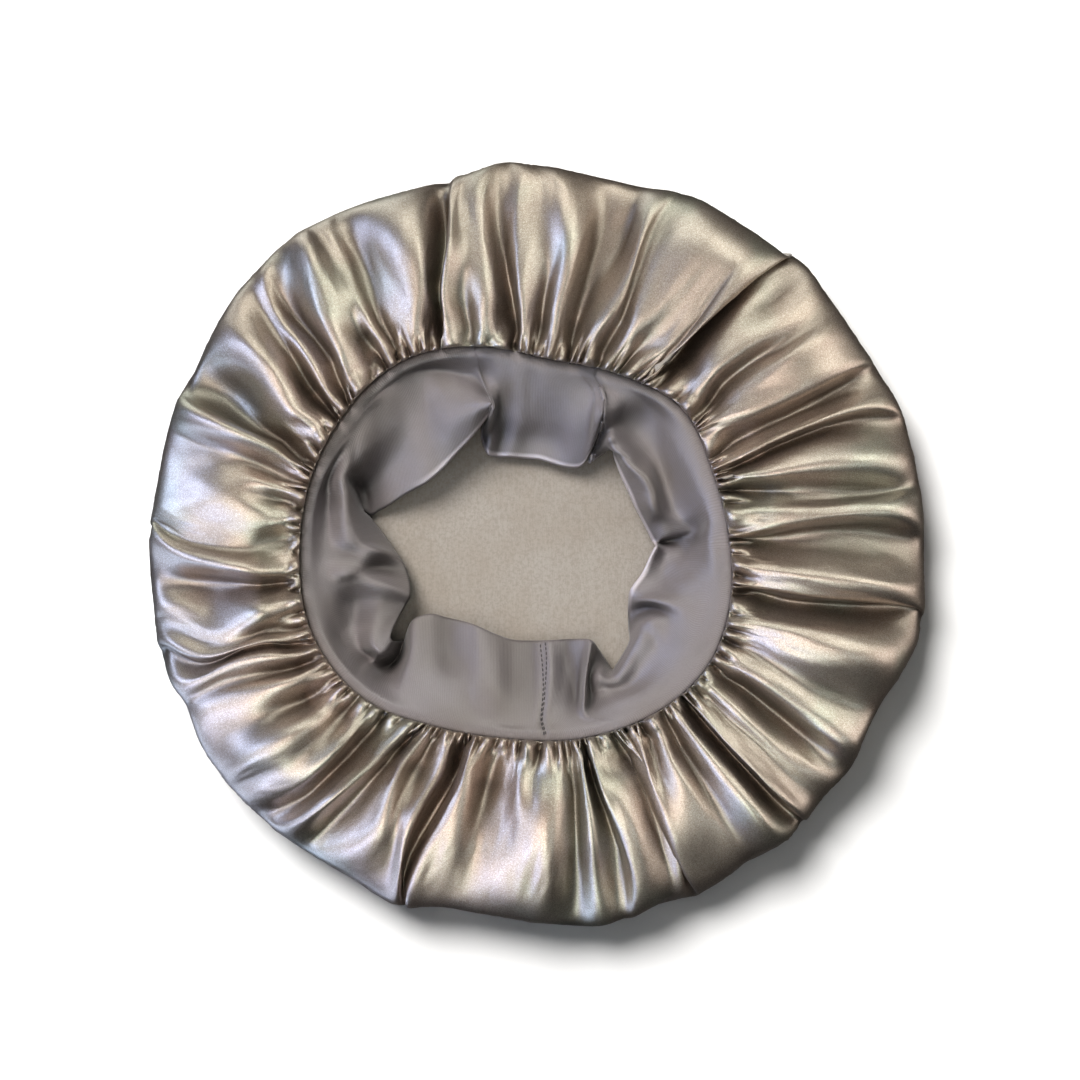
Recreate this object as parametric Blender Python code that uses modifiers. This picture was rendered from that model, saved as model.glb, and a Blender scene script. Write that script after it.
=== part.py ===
"""A satin sleep bonnet lying crown down, with its mouth open upwards.

Two cloth pieces, sewn together at the mouth:
  satin_bag     one round cut of satin, gathered at its edge, whose slack billows into a folded ring
  stretch_band  a jersey tube, sewn to the gathered edge and turned down into the bag

Metres, +Z up. The origin is under the middle of the bonnet, on the surface that it lies on.
"""

import math
from collections import namedtuple

import bmesh
import bpy
import numpy as np

MM = 0.001

# Driving sizes, in millimetres
SATIN_WALL = 1.0
BAND_WALL = 1.2
SEAM_GAP = 0.5
SEAM_HEIGHT = 33.0
MOUTH_CENTRE = (-8.7, -0.6)
COLUMN_SPACING = 6.4
FEWEST_COLUMNS = 3
PUFF_LIFT = 0.28
LARGEST_LIFT = 3.6
PUFF_BULGE = 1.2
ARCH_SHARPNESS = 2.2

# The line where the band is sewn on: its distance from the mouth's centre, by direction
SeamRow = namedtuple("SeamRow", "direction radius")
SEAM = [
    SeamRow(0, 89.3),
    SeamRow(20, 87.6),
    SeamRow(40, 89.9),
    SeamRow(60, 83.3),
    SeamRow(80, 79.3),
    SeamRow(100, 84.7),
    SeamRow(120, 90.9),
    SeamRow(150, 91.2),
    SeamRow(180, 91.4),
    SeamRow(205, 93.8),
    SeamRow(225, 91.0),
    SeamRow(245, 83.7),
    SeamRow(265, 81.2),
    SeamRow(290, 85.9),
    SeamRow(310, 91.4),
    SeamRow(328, 94.7),
    SeamRow(345, 92.7),
]

# A row for each crease between two puffs of satin: its direction at the seam, half way out and at
# the rim, how far out it runs (1 is the rim), its depth, and how far the rim is from the mouth's centre
Crease = namedtuple("Crease", "seam middle rim reach depth edge")
CREASES = [
    Crease(3.0, 4.0, 2.0, 1.00, 11.0, 173.0),
    Crease(16.0, 11.5, 8.5, 0.85, 10.0, 173.8),
    Crease(20.0, 20.5, 15.5, 1.00, 11.0, 172.4),
    Crease(33.3, 28.5, 27.0, 0.80, 11.0, 170.8),
    Crease(40.0, 39.0, 38.5, 0.50, 8.0, 169.6),
    Crease(52.5, 47.5, 47.3, 1.00, 13.5, 169.5),
    Crease(59.5, 60.5, 60.0, 0.35, 7.0, 166.4),
    Crease(71.5, 69.0, 66.5, 1.00, 12.0, 165.4),
    Crease(82.5, 78.5, 81.5, 0.95, 11.5, 161.8),
    Crease(90.0, 87.5, 87.5, 0.60, 9.5, 162.8),
    Crease(96.5, 93.5, 93.5, 0.90, 9.0, 163.2),
    Crease(110.5, 103.5, 98.5, 1.00, 15.0, 161.8),
    Crease(116.5, 113.5, 110.5, 0.40, 9.5, 160.2),
    Crease(127.5, 125.5, 120.0, 0.80, 11.5, 161.0),
    Crease(138.5, 132.5, 129.5, 0.95, 11.0, 161.8),
    Crease(144.5, 141.0, 137.0, 0.80, 11.5, 161.0),
    Crease(161.0, 157.5, 155.5, 1.00, 13.5, 156.8),
    Crease(169.5, 168.0, 165.5, 0.35, 8.0, 156.0),
    Crease(179.0, 176.5, 173.0, 0.45, 9.5, 156.7),
    Crease(188.5, 186.5, 180.5, 1.00, 13.5, 157.8),
    Crease(194.5, 192.0, 188.0, 0.60, 8.0, 158.6),
    Crease(205.0, 200.8, 196.0, 1.00, 13.0, 158.0),
    Crease(210.5, 208.0, 205.0, 0.80, 9.5, 155.4),
    Crease(222.5, 217.5, 213.5, 0.50, 9.0, 157.8),
    Crease(231.0, 228.5, 223.0, 1.00, 12.0, 157.6),
    Crease(243.0, 236.5, 233.5, 1.00, 13.0, 156.3),
    Crease(253.5, 253.2, 252.0, 1.00, 15.0, 159.3),
    Crease(262.5, 261.5, 260.0, 0.45, 9.5, 158.7),
    Crease(268.5, 268.5, 268.0, 0.40, 8.0, 159.5),
    Crease(281.0, 279.0, 276.0, 0.40, 8.0, 162.8),
    Crease(289.5, 286.5, 283.0, 1.00, 13.5, 164.6),
    Crease(300.3, 299.0, 296.5, 1.00, 13.5, 167.2),
    Crease(311.5, 308.0, 306.5, 0.85, 11.0, 167.8),
    Crease(317.9, 316.8, 316.5, 1.00, 13.5, 168.8),
    Crease(327.9, 327.5, 329.5, 0.85, 11.0, 169.2),
    Crease(339.5, 342.5, 338.0, 0.90, 11.0, 169.8),
    Crease(350.8, 350.5, 351.0, 1.00, 13.5, 174.6),
]

# The ring's section, from the seam over the top to the rim and in under it: the share of the way
# from seam to rim, the height, the share of a crease's depth that shows there, and the height of
# the fine gathers, one up and one down in turn
Section = namedtuple("Section", "share height crease gather")
SECTIONS = [
    Section(0.00, 33.0, 0.20, 0.0),
    Section(0.05, 37.0, 0.50, 0.9),
    Section(0.13, 41.5, 0.90, 1.0),
    Section(0.26, 44.5, 1.00, 0.4),
    Section(0.43, 44.5, 0.85, 0.0),
    Section(0.60, 41.5, 0.65, 0.0),
    Section(0.76, 36.0, 0.45, 0.0),
    Section(0.88, 29.0, 0.28, 0.0),
    Section(0.965, 21.5, 0.12, 0.0),
    Section(1.00, 13.5, 0.00, 0.0),
    Section(0.985, 6.0, 0.00, 0.0),
    Section(0.94, 1.8, 0.00, 0.0),
    Section(0.87, 0.0, 0.00, 0.0),
]
MIDDLE_SHARE = 0.53

# The band's free edge, a row for each fold or corner: the direction at the seam that the cloth comes
# from, the edge's own direction and distance from the mouth's centre, and its height
EdgeRow = namedtuple("EdgeRow", "seam direction radius height")
FREE_EDGE = [
    EdgeRow(0, 0, 58.7, 6.0),
    EdgeRow(15, 17.4, 52.6, 4.5),
    EdgeRow(27, 33.8, 52.7, 5.0),
    EdgeRow(39, 47.6, 58.7, 12.0),
    EdgeRow(47, 55.2, 62.6, 19.0),
    EdgeRow(59, 52.5, 44.5, 11.0),
    EdgeRow(67, 58.2, 39.5, 7.0),
    EdgeRow(76, 72, 37.1, 7.5),
    EdgeRow(88, 93.2, 37.9, 8.0),
    EdgeRow(99, 108.5, 42.5, 10.0),
    EdgeRow(111.5, 101.5, 57.2, 19.0),
    EdgeRow(126, 118.4, 48.3, 14.0),
    EdgeRow(141, 140.3, 45.9, 9.0),
    EdgeRow(156, 156.9, 54.1, 5.5),
    EdgeRow(169.5, 168.6, 64.6, 8.0),
    EdgeRow(182, 177.8, 54.4, 13.0),
    EdgeRow(193.5, 192.7, 48.4, 11.0),
    EdgeRow(203, 204.6, 50.0, 12.0),
    EdgeRow(215, 215, 66.3, 16.0),
    EdgeRow(231, 217, 50.0, 9.0),
    EdgeRow(247.5, 237.1, 39.4, 9.0),
    EdgeRow(265, 266.7, 40.4, 6.0),
    EdgeRow(279, 288.6, 42.7, 6.0),
    EdgeRow(293, 307, 51.0, 10.0),
    EdgeRow(306.5, 305.5, 67.5, 18.0),
    EdgeRow(321, 319.1, 63.0, 15.0),
    EdgeRow(336.5, 333.5, 52.0, 9.0),
    EdgeRow(348, 347.8, 54.1, 8.0),
]
BAND_COLUMNS = 108

# The band's section from the seam to its free edge: the share of the way in, the share of the drop
# down to the edge, and how far the cloth arches over the straight line between them
BandSection = namedtuple("BandSection", "share drop arch")
BAND_SECTIONS = [
    BandSection(0.000, 0.05, 0.0),
    BandSection(0.012, 0.00, 1.6),
    BandSection(0.070, 0.01, 3.0),
    BandSection(0.230, 0.12, 4.0),
    BandSection(0.450, 0.36, 4.0),
    BandSection(0.700, 0.68, 2.6),
    BandSection(1.000, 1.00, 0.0),
]

SATIN_COLOUR = (0.40, 0.32, 0.245, 1.0)
JERSEY_COLOUR = (0.235, 0.21, 0.205, 1.0)


def clear_scene():
    for old in list(bpy.data.objects):
        bpy.data.objects.remove(old, do_unlink=True)


def around(direction, known, values):
    """A smooth closed curve through values at known directions, read at a direction, in degrees."""
    count = len(known)
    turn = direction % 360.0
    after = next((i for i, d in enumerate(known) if d % 360.0 > turn), 0)
    stops = [(after + step) % count for step in (-2, -1, 0, 1)]
    angles = [known[stops[1]]]
    for before, here in zip(stops[1:], stops[2:]):
        angles.append(angles[-1] + (known[here] - known[before]) % 360.0)
    first = angles[0] - (known[stops[1]] - known[stops[0]]) % 360.0
    angles = [first, *angles]
    points = [values[i] for i in stops]
    span = angles[2] - angles[1]
    t = ((turn - angles[1]) % 360.0) / span
    slope_in = (points[2] - points[0]) / (angles[2] - angles[0]) * span
    slope_out = (points[3] - points[1]) / (angles[3] - angles[1]) * span
    return (
        (2 * t**3 - 3 * t**2 + 1) * points[1]
        + (t**3 - 2 * t**2 + t) * slope_in
        + (3 * t**2 - 2 * t**3) * points[2]
        + (t**3 - t**2) * slope_out
    )


def seam_radius(direction):
    return around(direction, [row.direction for row in SEAM], [row.radius for row in SEAM])


def from_mouth(direction, radius, height):
    """A point in metres, from a direction and distance about the mouth's centre, in millimetres."""
    angle = math.radians(direction)
    return (
        (MOUTH_CENTRE[0] + radius * math.cos(angle)) * MM,
        (MOUTH_CENTRE[1] + radius * math.sin(angle)) * MM,
        height * MM,
    )


def crease_direction(crease, share):
    """Where a crease lies at this share of the way out: a smooth bend through its three directions."""
    knots = (0.0, MIDDLE_SHARE, 1.0)
    bend = np.polyfit(knots, (crease.seam, crease.middle, crease.rim), 2)
    return float(np.polyval(bend, share))


def crease_depth(crease, section):
    """A crease's depth at a section of the ring: it fades out towards its reach."""
    fade = max(0.0, 1.0 - (section.share / crease.reach) ** 3) if crease.reach < 1.0 else 1.0
    return crease.depth * section.crease * fade


def puffs():
    """Each pair of neighbouring creases, with the number of columns that the puff between them has."""
    for here, after in zip(CREASES, CREASES[1:] + CREASES[:1]):
        wrap = 360.0 if after is CREASES[0] else 0.0
        width = math.radians(after.middle + wrap - here.middle) * seam_radius(here.middle) * 1.4
        yield here, after, wrap, width, max(FEWEST_COLUMNS, round(width / COLUMN_SPACING))


def ring_section(section):
    """The points of one section round the whole ring of satin, creases and puffs alike."""
    points = []
    share = min(section.share, 1.0)
    for here, after, wrap, width, columns in puffs():
        start, end = crease_direction(here, share), crease_direction(after, share) + wrap
        for column in range(columns):
            across = column / columns
            direction = start + across * (end - start)
            near = crease_depth(here, section) * (1.0 - across) ** ARCH_SHARPNESS
            far = crease_depth(after, section) * across**ARCH_SHARPNESS
            arch = math.sin(math.pi * across) ** 0.7 if column else 0.0
            lift = min(LARGEST_LIFT, PUFF_LIFT * width * 0.5) * arch * section.crease
            gather = section.gather * (1.0 if column % 2 else -1.0)
            height = section.height - near - far + lift + gather
            seam = seam_radius(direction) + SEAM_GAP
            edge = (1.0 - across) * here.edge + across * after.edge + PUFF_BULGE * arch
            radius = seam + section.share * (edge - seam)
            points.append(from_mouth(direction, radius, height))
    return points


def band_section(section):
    """The points of one section round the band, from the sewn edge (share 0) to the free one."""
    seams = [row.seam for row in FREE_EDGE]
    bends = [(row.direction - row.seam + 180) % 360 - 180 for row in FREE_EDGE]
    radii = [row.radius for row in FREE_EDGE]
    heights = [row.height for row in FREE_EDGE]
    points = []
    for column in range(BAND_COLUMNS):
        leaves = 360.0 * column / BAND_COLUMNS
        seam = np.array(from_mouth(leaves, seam_radius(leaves), SEAM_HEIGHT))
        bend = around(leaves, seams, bends)
        drop = around(leaves, seams, heights)
        edge = np.array(from_mouth(leaves + bend, around(leaves, seams, radii), drop))
        point = seam + section.share * (edge - seam)
        height = SEAM_HEIGHT - section.drop * (SEAM_HEIGHT - drop) + section.arch
        points.append((point[0], point[1], height * MM))
    return points


def lofted(name, sections, floor):
    """A sheet lofted through closed sections of equal count, and closed by a flat floor if asked."""
    sheet = bmesh.new()
    loops = [[sheet.verts.new(point) for point in section] for section in sections]
    for upper, lower in zip(loops, loops[1:]):
        for i in range(len(upper)):
            after = (i + 1) % len(upper)
            sheet.faces.new((upper[i], lower[i], lower[after], upper[after]))
    if floor:
        sheet.faces.new(loops[-1])
    bmesh.ops.recalc_face_normals(sheet, faces=sheet.faces)
    mesh = bpy.data.meshes.new(name)
    sheet.to_mesh(mesh)
    sheet.free()
    piece = bpy.data.objects.new(name, mesh)
    return piece


def face_up(piece):
    """Turns the sheet's faces over if its first one looks down."""
    if piece.data.polygons[len(piece.data.polygons) // 2].normal.z < 0.0:
        piece.data.flip_normals()


def thicken(piece, wall):
    """Gives a sheet its wall, on the side away from its faces."""
    solidify = piece.modifiers.new("wall", "SOLIDIFY")
    solidify.thickness = wall * MM
    solidify.offset = -1.0
    solidify.use_even_offset = False


def cloth(name, colour, roughness):
    material = bpy.data.materials.new(name)
    material.use_nodes = True
    surface = material.node_tree.nodes["Principled BSDF"]
    surface.inputs["Base Color"].default_value = colour
    surface.inputs["Roughness"].default_value = roughness
    surface.inputs["Metallic"].default_value = 0.0
    return material


def satin_bag():
    bag = lofted("satin_bag", [ring_section(section) for section in SECTIONS], floor=True)
    if bag.data.polygons[-1].normal.z > 0.0:
        bag.data.flip_normals()
    thicken(bag, SATIN_WALL)
    bag.data.materials.append(cloth("satin", SATIN_COLOUR, 0.28))
    return bag


def stretch_band():
    band = lofted("stretch_band", [band_section(section) for section in BAND_SECTIONS], floor=False)
    face_up(band)
    thicken(band, BAND_WALL)
    band.data.materials.append(cloth("jersey", JERSEY_COLOUR, 0.75))
    return band


def centre_over_origin(pieces):
    """Slides the whole bonnet so that its outline is centred on the origin."""
    corners = np.array([v.co for piece in pieces for v in piece.data.vertices])
    middle = (corners.min(axis=0) + corners.max(axis=0)) / 2.0
    for piece in pieces:
        for vertex in piece.data.vertices:
            vertex.co.x -= middle[0]
            vertex.co.y -= middle[1]


def main():
    clear_scene()
    collection = bpy.data.collections.new("sleep_bonnet")
    bpy.context.scene.collection.children.link(collection)
    pieces = [satin_bag(), stretch_band()]
    centre_over_origin(pieces)
    for piece in pieces:
        piece.data.shade_smooth()
        collection.objects.link(piece)


main()
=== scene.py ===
"""A satin sleep bonnet, laid crown down with its mouth open to the camera.

The satin is one round cut, gathered into the mouth; its slack billows into a folded ring. A ribbed
jersey band is sewn to the gathers and turned down into the bag. Lengths are in metres, and in the
tables in millimetres.
"""

import math
from collections import namedtuple

import bmesh
import bpy
import numpy as np
from bpy.props import FloatProperty, FloatVectorProperty, IntProperty, PointerProperty
from mathutils import Matrix, Vector


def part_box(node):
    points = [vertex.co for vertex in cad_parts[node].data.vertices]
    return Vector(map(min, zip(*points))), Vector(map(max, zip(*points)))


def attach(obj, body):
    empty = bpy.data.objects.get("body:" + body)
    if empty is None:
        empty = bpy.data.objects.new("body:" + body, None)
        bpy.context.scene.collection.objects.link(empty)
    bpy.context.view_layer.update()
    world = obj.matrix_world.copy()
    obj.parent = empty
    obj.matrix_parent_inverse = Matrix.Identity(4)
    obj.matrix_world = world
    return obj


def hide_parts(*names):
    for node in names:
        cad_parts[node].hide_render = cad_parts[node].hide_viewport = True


bl_info = {
    "name": "Satin sleep bonnet",
    "version": (1, 0, 0),
    "blender": (4, 5, 0),
    "location": "View3D > Sidebar > Bonnet",
    "description": "Lays out a gathered satin bonnet with a ribbed jersey band",
    "category": "Object",
}

MM = 0.001
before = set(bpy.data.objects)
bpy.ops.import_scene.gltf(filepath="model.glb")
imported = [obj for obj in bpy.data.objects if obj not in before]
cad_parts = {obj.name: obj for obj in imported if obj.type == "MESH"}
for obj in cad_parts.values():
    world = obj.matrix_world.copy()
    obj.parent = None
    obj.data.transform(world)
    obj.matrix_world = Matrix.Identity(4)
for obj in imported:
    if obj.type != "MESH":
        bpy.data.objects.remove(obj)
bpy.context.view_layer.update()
BAND_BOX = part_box("stretch_band")

# ---------------------------------------------------------------------------------------------
# The cloth's lines, read one by one

# The line where the band is sewn on: its distance from the middle of the mouth, by direction
SEAM = [
    (0, 89.3), (20, 87.6), (40, 89.9), (60, 83.3), (80, 79.3), (100, 84.7), (120, 90.9), (150, 91.2),
    (180, 91.4), (205, 93.8), (225, 91.0), (245, 83.7), (265, 81.2), (290, 85.9), (310, 91.4),
    (328, 94.7), (345, 92.7),
]

# The bonnet's outline: its distance from the middle of the bonnet, by direction
OUTLINE = [
    (0, 165.3), (10, 164.9), (20, 165.1), (30, 162.1), (40, 162.6), (47, 164.9), (52, 162.1),
    (60, 161.3), (67, 161.3), (71, 158.9), (80, 157.9), (90, 160.9), (96, 162.8), (99.5, 160.7),
    (110, 160), (120, 163.8), (130, 166.4), (140, 166), (150, 163.8), (160, 163.8), (170, 163.2),
    (180, 164.5), (190, 165.3), (200, 166.6), (205, 163.4), (211, 165.8), (220, 165.5), (230, 164),
    (240, 162.3), (251, 164.5), (255.5, 159.2), (260, 158.7), (270, 161.3), (281, 164.7),
    (287, 163.4), (296, 165.1), (302, 163.6), (313, 165.3), (318, 163.2), (324, 164), (334, 161.1),
    (340, 164.7), (347, 168.5), (355, 165.8),
]

# The satin's ridges and creases: directions at the seam, half way out and at the rim, and how far
# each stands above (or sinks below) the billow near the seam, half way out and near the rim, before
# FOLD_CONTRAST
Fold = namedtuple("Fold", "seam middle rim near_seam half_way near_rim")
FOLDS = [
    Fold(1.6, 1.8, 0.6, -9, -8, -4),
    Fold(3.4, 3.8, 3, 2, 3, 2),
    Fold(7.5, 6.3, 6.5, 1, 1.5, 2),
    Fold(15.6, 10.8, 8.5, -8, -6, -2),
    Fold(18.2, 14.6, 13.3, 2, 3, 1.5),
    Fold(19.9, 20.3, 17.8, -7, -6, -3),
    Fold(21.2, 21.3, 18.9, 1.5, 2.5, 2),
    Fold(24.5, 26.6, 25.8, -7, -7, -2.5),
    Fold(32.2, 29, 27.8, 1.5, 3, 2),
    Fold(34.2, 38.5, 39, -8, -4, -1.5),
    Fold(38.6, 41.2, 41.8, 1, 1.5, 0.5),
    Fold(52.4, 48, 47.6, -10, -11, -5),
    Fold(52, 47.2, 46.9, 1, 3.5, 3),
    Fold(53.6, 51.2, 50.8, -2, 0, 1),
    Fold(55, 52.2, 51.8, 1, 2, 2),
    Fold(60, 58, 57, -4, -1, -0.5),
    Fold(62.5, 62, 61, 1, 0.5, 1),
    Fold(66, 66.2, 64.8, -6, -2.5, -1),
    Fold(70.6, 68.3, 66.3, 2, 3.5, 3),
    Fold(74.5, 75.3, 73.5, -7, -9, -3.5),
    Fold(81.3, 78.3, 82.5, 1.5, 3, 1.5),
    Fold(84.5, 82.5, 86, -6, -2, -0.5),
    Fold(88.5, 88.8, 89.5, 1.5, 2, 0.5),
    Fold(90.3, 91.5, 92, -9, -7, -2),
    Fold(99.5, 97, 95.3, 2, 2, 2),
    Fold(102.3, 100.8, 97, -5, -0.5, 1),
    Fold(110.9, 103.6, 98.5, 2, 3, 2),
    Fold(111.3, 104.4, 99.3, -10, -9, -5),
    Fold(117, 112, 110, 1, 1, 1.5),
    Fold(121.5, 119.3, 117, -6, -4, -1.5),
    Fold(124, 122.3, 120, 0, -1, 0.5),
    Fold(127, 125.3, 123, -8, -4, -1),
    Fold(137.3, 130.6, 125.8, 2, 3.5, 2),
    Fold(139.8, 134, 130, -7, -7, -2.5),
    Fold(143, 137.4, 132.8, 0.5, 1.5, 1),
    Fold(144.4, 140.4, 136, -9, -5, -2),
    Fold(150, 145, 143.5, 2, 3, 1.5),
    Fold(159.5, 155.6, 154.8, -7, -8, -3.5),
    Fold(160.9, 157.3, 156.6, 1.5, 3, 3),
    Fold(163.8, 162.5, 162, -4, -2.5, -1.5),
    Fold(166.5, 167, 167, 0, -0.5, 0.5),
    Fold(169.5, 169.5, 169.5, -6, -1.5, -0.5),
    Fold(174, 174, 173, 0.5, 0, 0.5),
    Fold(177.8, 180, 176.5, -6, -3.5, -1),
    Fold(185.8, 185.3, 179, 1.5, 3.5, 2.5),
    Fold(189.3, 187.6, 183.5, -8, -7, -3),
    Fold(195, 193, 191, 1, 1, -1),
    Fold(200.3, 198.3, 193.5, -4, -1, -1),
    Fold(203.6, 200.5, 195.8, 1.5, 2.5, 2),
    Fold(205.2, 201.3, 196.8, -7, -6, -2.5),
    Fold(207.6, 205, 202, 0.5, 1.5, 1),
    Fold(210.2, 208.2, 206, -8, -4, -1.5),
    Fold(212, 209.5, 209, 0.5, 1, 1),
    Fold(217, 214, 213, -5, -4, -1),
    Fold(220, 219.5, 218.5, 0, 1.5, 2),
    Fold(223.5, 224, 221.5, -5, -1, -1),
    Fold(228, 228.5, 224, 1, 3, 1.5),
    Fold(231.8, 230.8, 226.5, -8, -7, -3),
    Fold(239.6, 234.2, 229.6, 1.5, 3, 2.5),
    Fold(242.8, 236.4, 233.4, -8, -6, -3),
    Fold(244.8, 242, 240, 0.5, 2.5, 1.5),
    Fold(246.6, 246.4, 246.5, -6, -1, 0),
    Fold(250.3, 250, 249.8, 1, 2.5, 2),
    Fold(255.2, 253.6, 252.2, -12, -12, -6),
    Fold(258.6, 255.2, 253.8, 1.5, 3, 2.5),
    Fold(265.5, 261.5, 261.5, -7, -5, -1),
    Fold(273.5, 270, 268, 0, 1, 1.5),
    Fold(276.5, 272, 269.5, -2, 1, 2),
    Fold(280.7, 277, 273, 1.5, 3.5, 3),
    Fold(284, 281.5, 279.4, -4, -5.5, -4),
    Fold(287.2, 284.9, 281.7, -1, 0.5, 1.5),
    Fold(288.9, 288.2, 284.6, -10, -8, -2.5),
    Fold(290, 288.8, 286, 2, 3.5, 2.5),
    Fold(297, 295.8, 293, -7, -5.5, -2),
    Fold(298.7, 297.6, 294.6, 0, 1.5, 1.5),
    Fold(300.2, 299.5, 296.8, -9, -7, -2),
    Fold(302.8, 300.1, 297.6, 2, 3.5, 2),
    Fold(304.9, 304.5, 302.5, -5, -2.5, -1),
    Fold(308, 306, 304.5, 1, 0, 0.5),
    Fold(311.3, 307.6, 306.3, -7, -5, -1.5),
    Fold(313.8, 311.2, 311.5, 0, 2.5, 2.5),
    Fold(317.6, 316.6, 316.3, -10, -9, -4.5),
    Fold(318.6, 316.9, 317, 1.5, 3, 2.5),
    Fold(322.3, 320.8, 320.8, -3, -4, -1.5),
    Fold(324, 323, 323.5, 0.5, 1.5, 1),
    Fold(327.6, 327.2, 327, -7, -6, -1),
    Fold(331, 329.8, 329.5, 1, 2.5, 1.5),
    Fold(336, 334.5, 334, -3, -2, -1.5),
    Fold(340.2, 343.6, 342.5, 2, 3.5, 3),
    Fold(348.8, 349.4, 349.8, -10, -9, -5),
    Fold(350.4, 350.6, 350.9, 1, 3, 2),
    Fold(354.5, 353.6, 354.5, 2, 2.5, 2.5),
]

# The satin's puffs and dents: the place of each from the bonnet's middle, half its length, half its
# width, the direction of its length and how high it stands (or how deep it sinks), before the
# setting for puffs
Puff = namedtuple("Puff", "x y length width direction height")
PUFFS = [
    Puff(-49.3, 127.5, 21.2, 16.1, 120, 3.5),
    Puff(-74, 119, 17.8, 6.4, 112, -3.2),
    Puff(-89.2, 110.5, 24.6, 5.5, 116, 2.6),
    Puff(-108, 96.5, 12.8, 7.2, 130, -3.2),
    Puff(-114.8, 77.8, 19.6, 8.1, 146, 3.2),
    Puff(-128.8, 66.7, 14.4, 5.5, 150, -3.6),
    Puff(-129.2, 46.8, 17, 8.5, 160, 3.6),
    Puff(-112.2, 31.9, 12.8, 6, 165, -2.6),
    Puff(-132.2, 22.5, 15.3, 7.2, 175, 2.6),
    Puff(-137.7, -25.1, 8.5, 10.2, 90, -3.6),
    Puff(-113.9, -27.6, 13.6, 7.2, 175, 2.6),
    Puff(-108, -83.7, 23.8, 17.8, 205, 4),
    Puff(-93.5, -67.1, 13.6, 5.5, 178, -3.6),
    Puff(-89.7, -108.4, 19.6, 6, 206, 2.2),
    Puff(-47.6, -95.6, 10.2, 7.6, 235, -3),
    Puff(-31, -126.2, 18.7, 6.4, 75, 3.2),
    Puff(0, -121.1, 21.2, 11.9, 90, 3.5),
    Puff(-13.2, -111.8, 15.3, 4.7, 100, -2.8),
    Puff(20.8, -121.1, 21.2, 6, 88, 3),
    Puff(31.4, -141.5, 11, 4.7, 100, -2.8),
    Puff(40.4, -113.5, 21.2, 5.1, 96, 2.2),
    Puff(66.3, -116.9, 19.6, 5.1, 112, 2.6),
    Puff(97.3, -113.5, 25.5, 10.2, 130, 3),
    Puff(104.5, -75.2, 17.8, 7.6, 140, -3.8),
    Puff(138.5, -85, 14.9, 10.2, 140, 3.6),
    Puff(125.8, -49.7, 25.5, 7.2, 165, 3.6),
    Puff(138.5, -31.9, 15.3, 4.7, 170, -3),
    Puff(133.4, -14, 25.5, 6.4, 175, 3),
    Puff(74.8, 125.4, 23.8, 17, 60, 4.5),
    Puff(37.4, 129.6, 21.2, 5.5, 75, -3.2),
    Puff(102, 105.8, 14.4, 4.7, 45, -3.6),
    Puff(114.3, 82, 21.2, 11.9, 35, 4),
    Puff(125, 60.8, 17, 3.8, 20, -2.2),
    Puff(137.7, 36.1, 21.2, 8.5, 8, 3.6),
    Puff(116.5, 46.3, 17, 3.4, 15, -2.2),
    Puff(125.8, 25.1, 17.8, 3.8, -2, -2.6),
    Puff(154.7, 12.8, 19.6, 6.4, 0, 3),
    Puff(12.3, 136, 23.8, 5.5, 95, 3),
    Puff(52.7, -99.9, 12.8, 4.2, 105, -2.6),
    Puff(-123.7, -6.4, 17, 6.4, 170, 2.4),
    Puff(-64.2, -121.1, 14.4, 6.4, 215, 2.2),
    Puff(-72.7, -91.4, 15.3, 4.2, 210, -2.2),
]

# The billow in section: distance on the cut from the crown's middle, share of the way from the
# seam (0) to the rim (1), height
Row = namedtuple("Row", "cut share height")
BILLOW = [
    Row(145, 0.8, 0.5),
    Row(157, 0.9, 3.2),
    Row(166, 1, 10),
    Row(174, 1, 18.5),
    Row(184, 1, 28),
    Row(196, 0.9, 34.2),
    Row(209, 0.7, 38.8),
    Row(222, 0.5, 42.2),
    Row(235, 0.3, 43.8),
    Row(245, 0.2, 42.3),
    Row(252, 0.1, 40.5),
    Row(256, 0, 38.5),
    Row(258.5, 0, 36),
    Row(260.5, 0, 32),
    Row(262, 0, 28.5),
]

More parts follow.
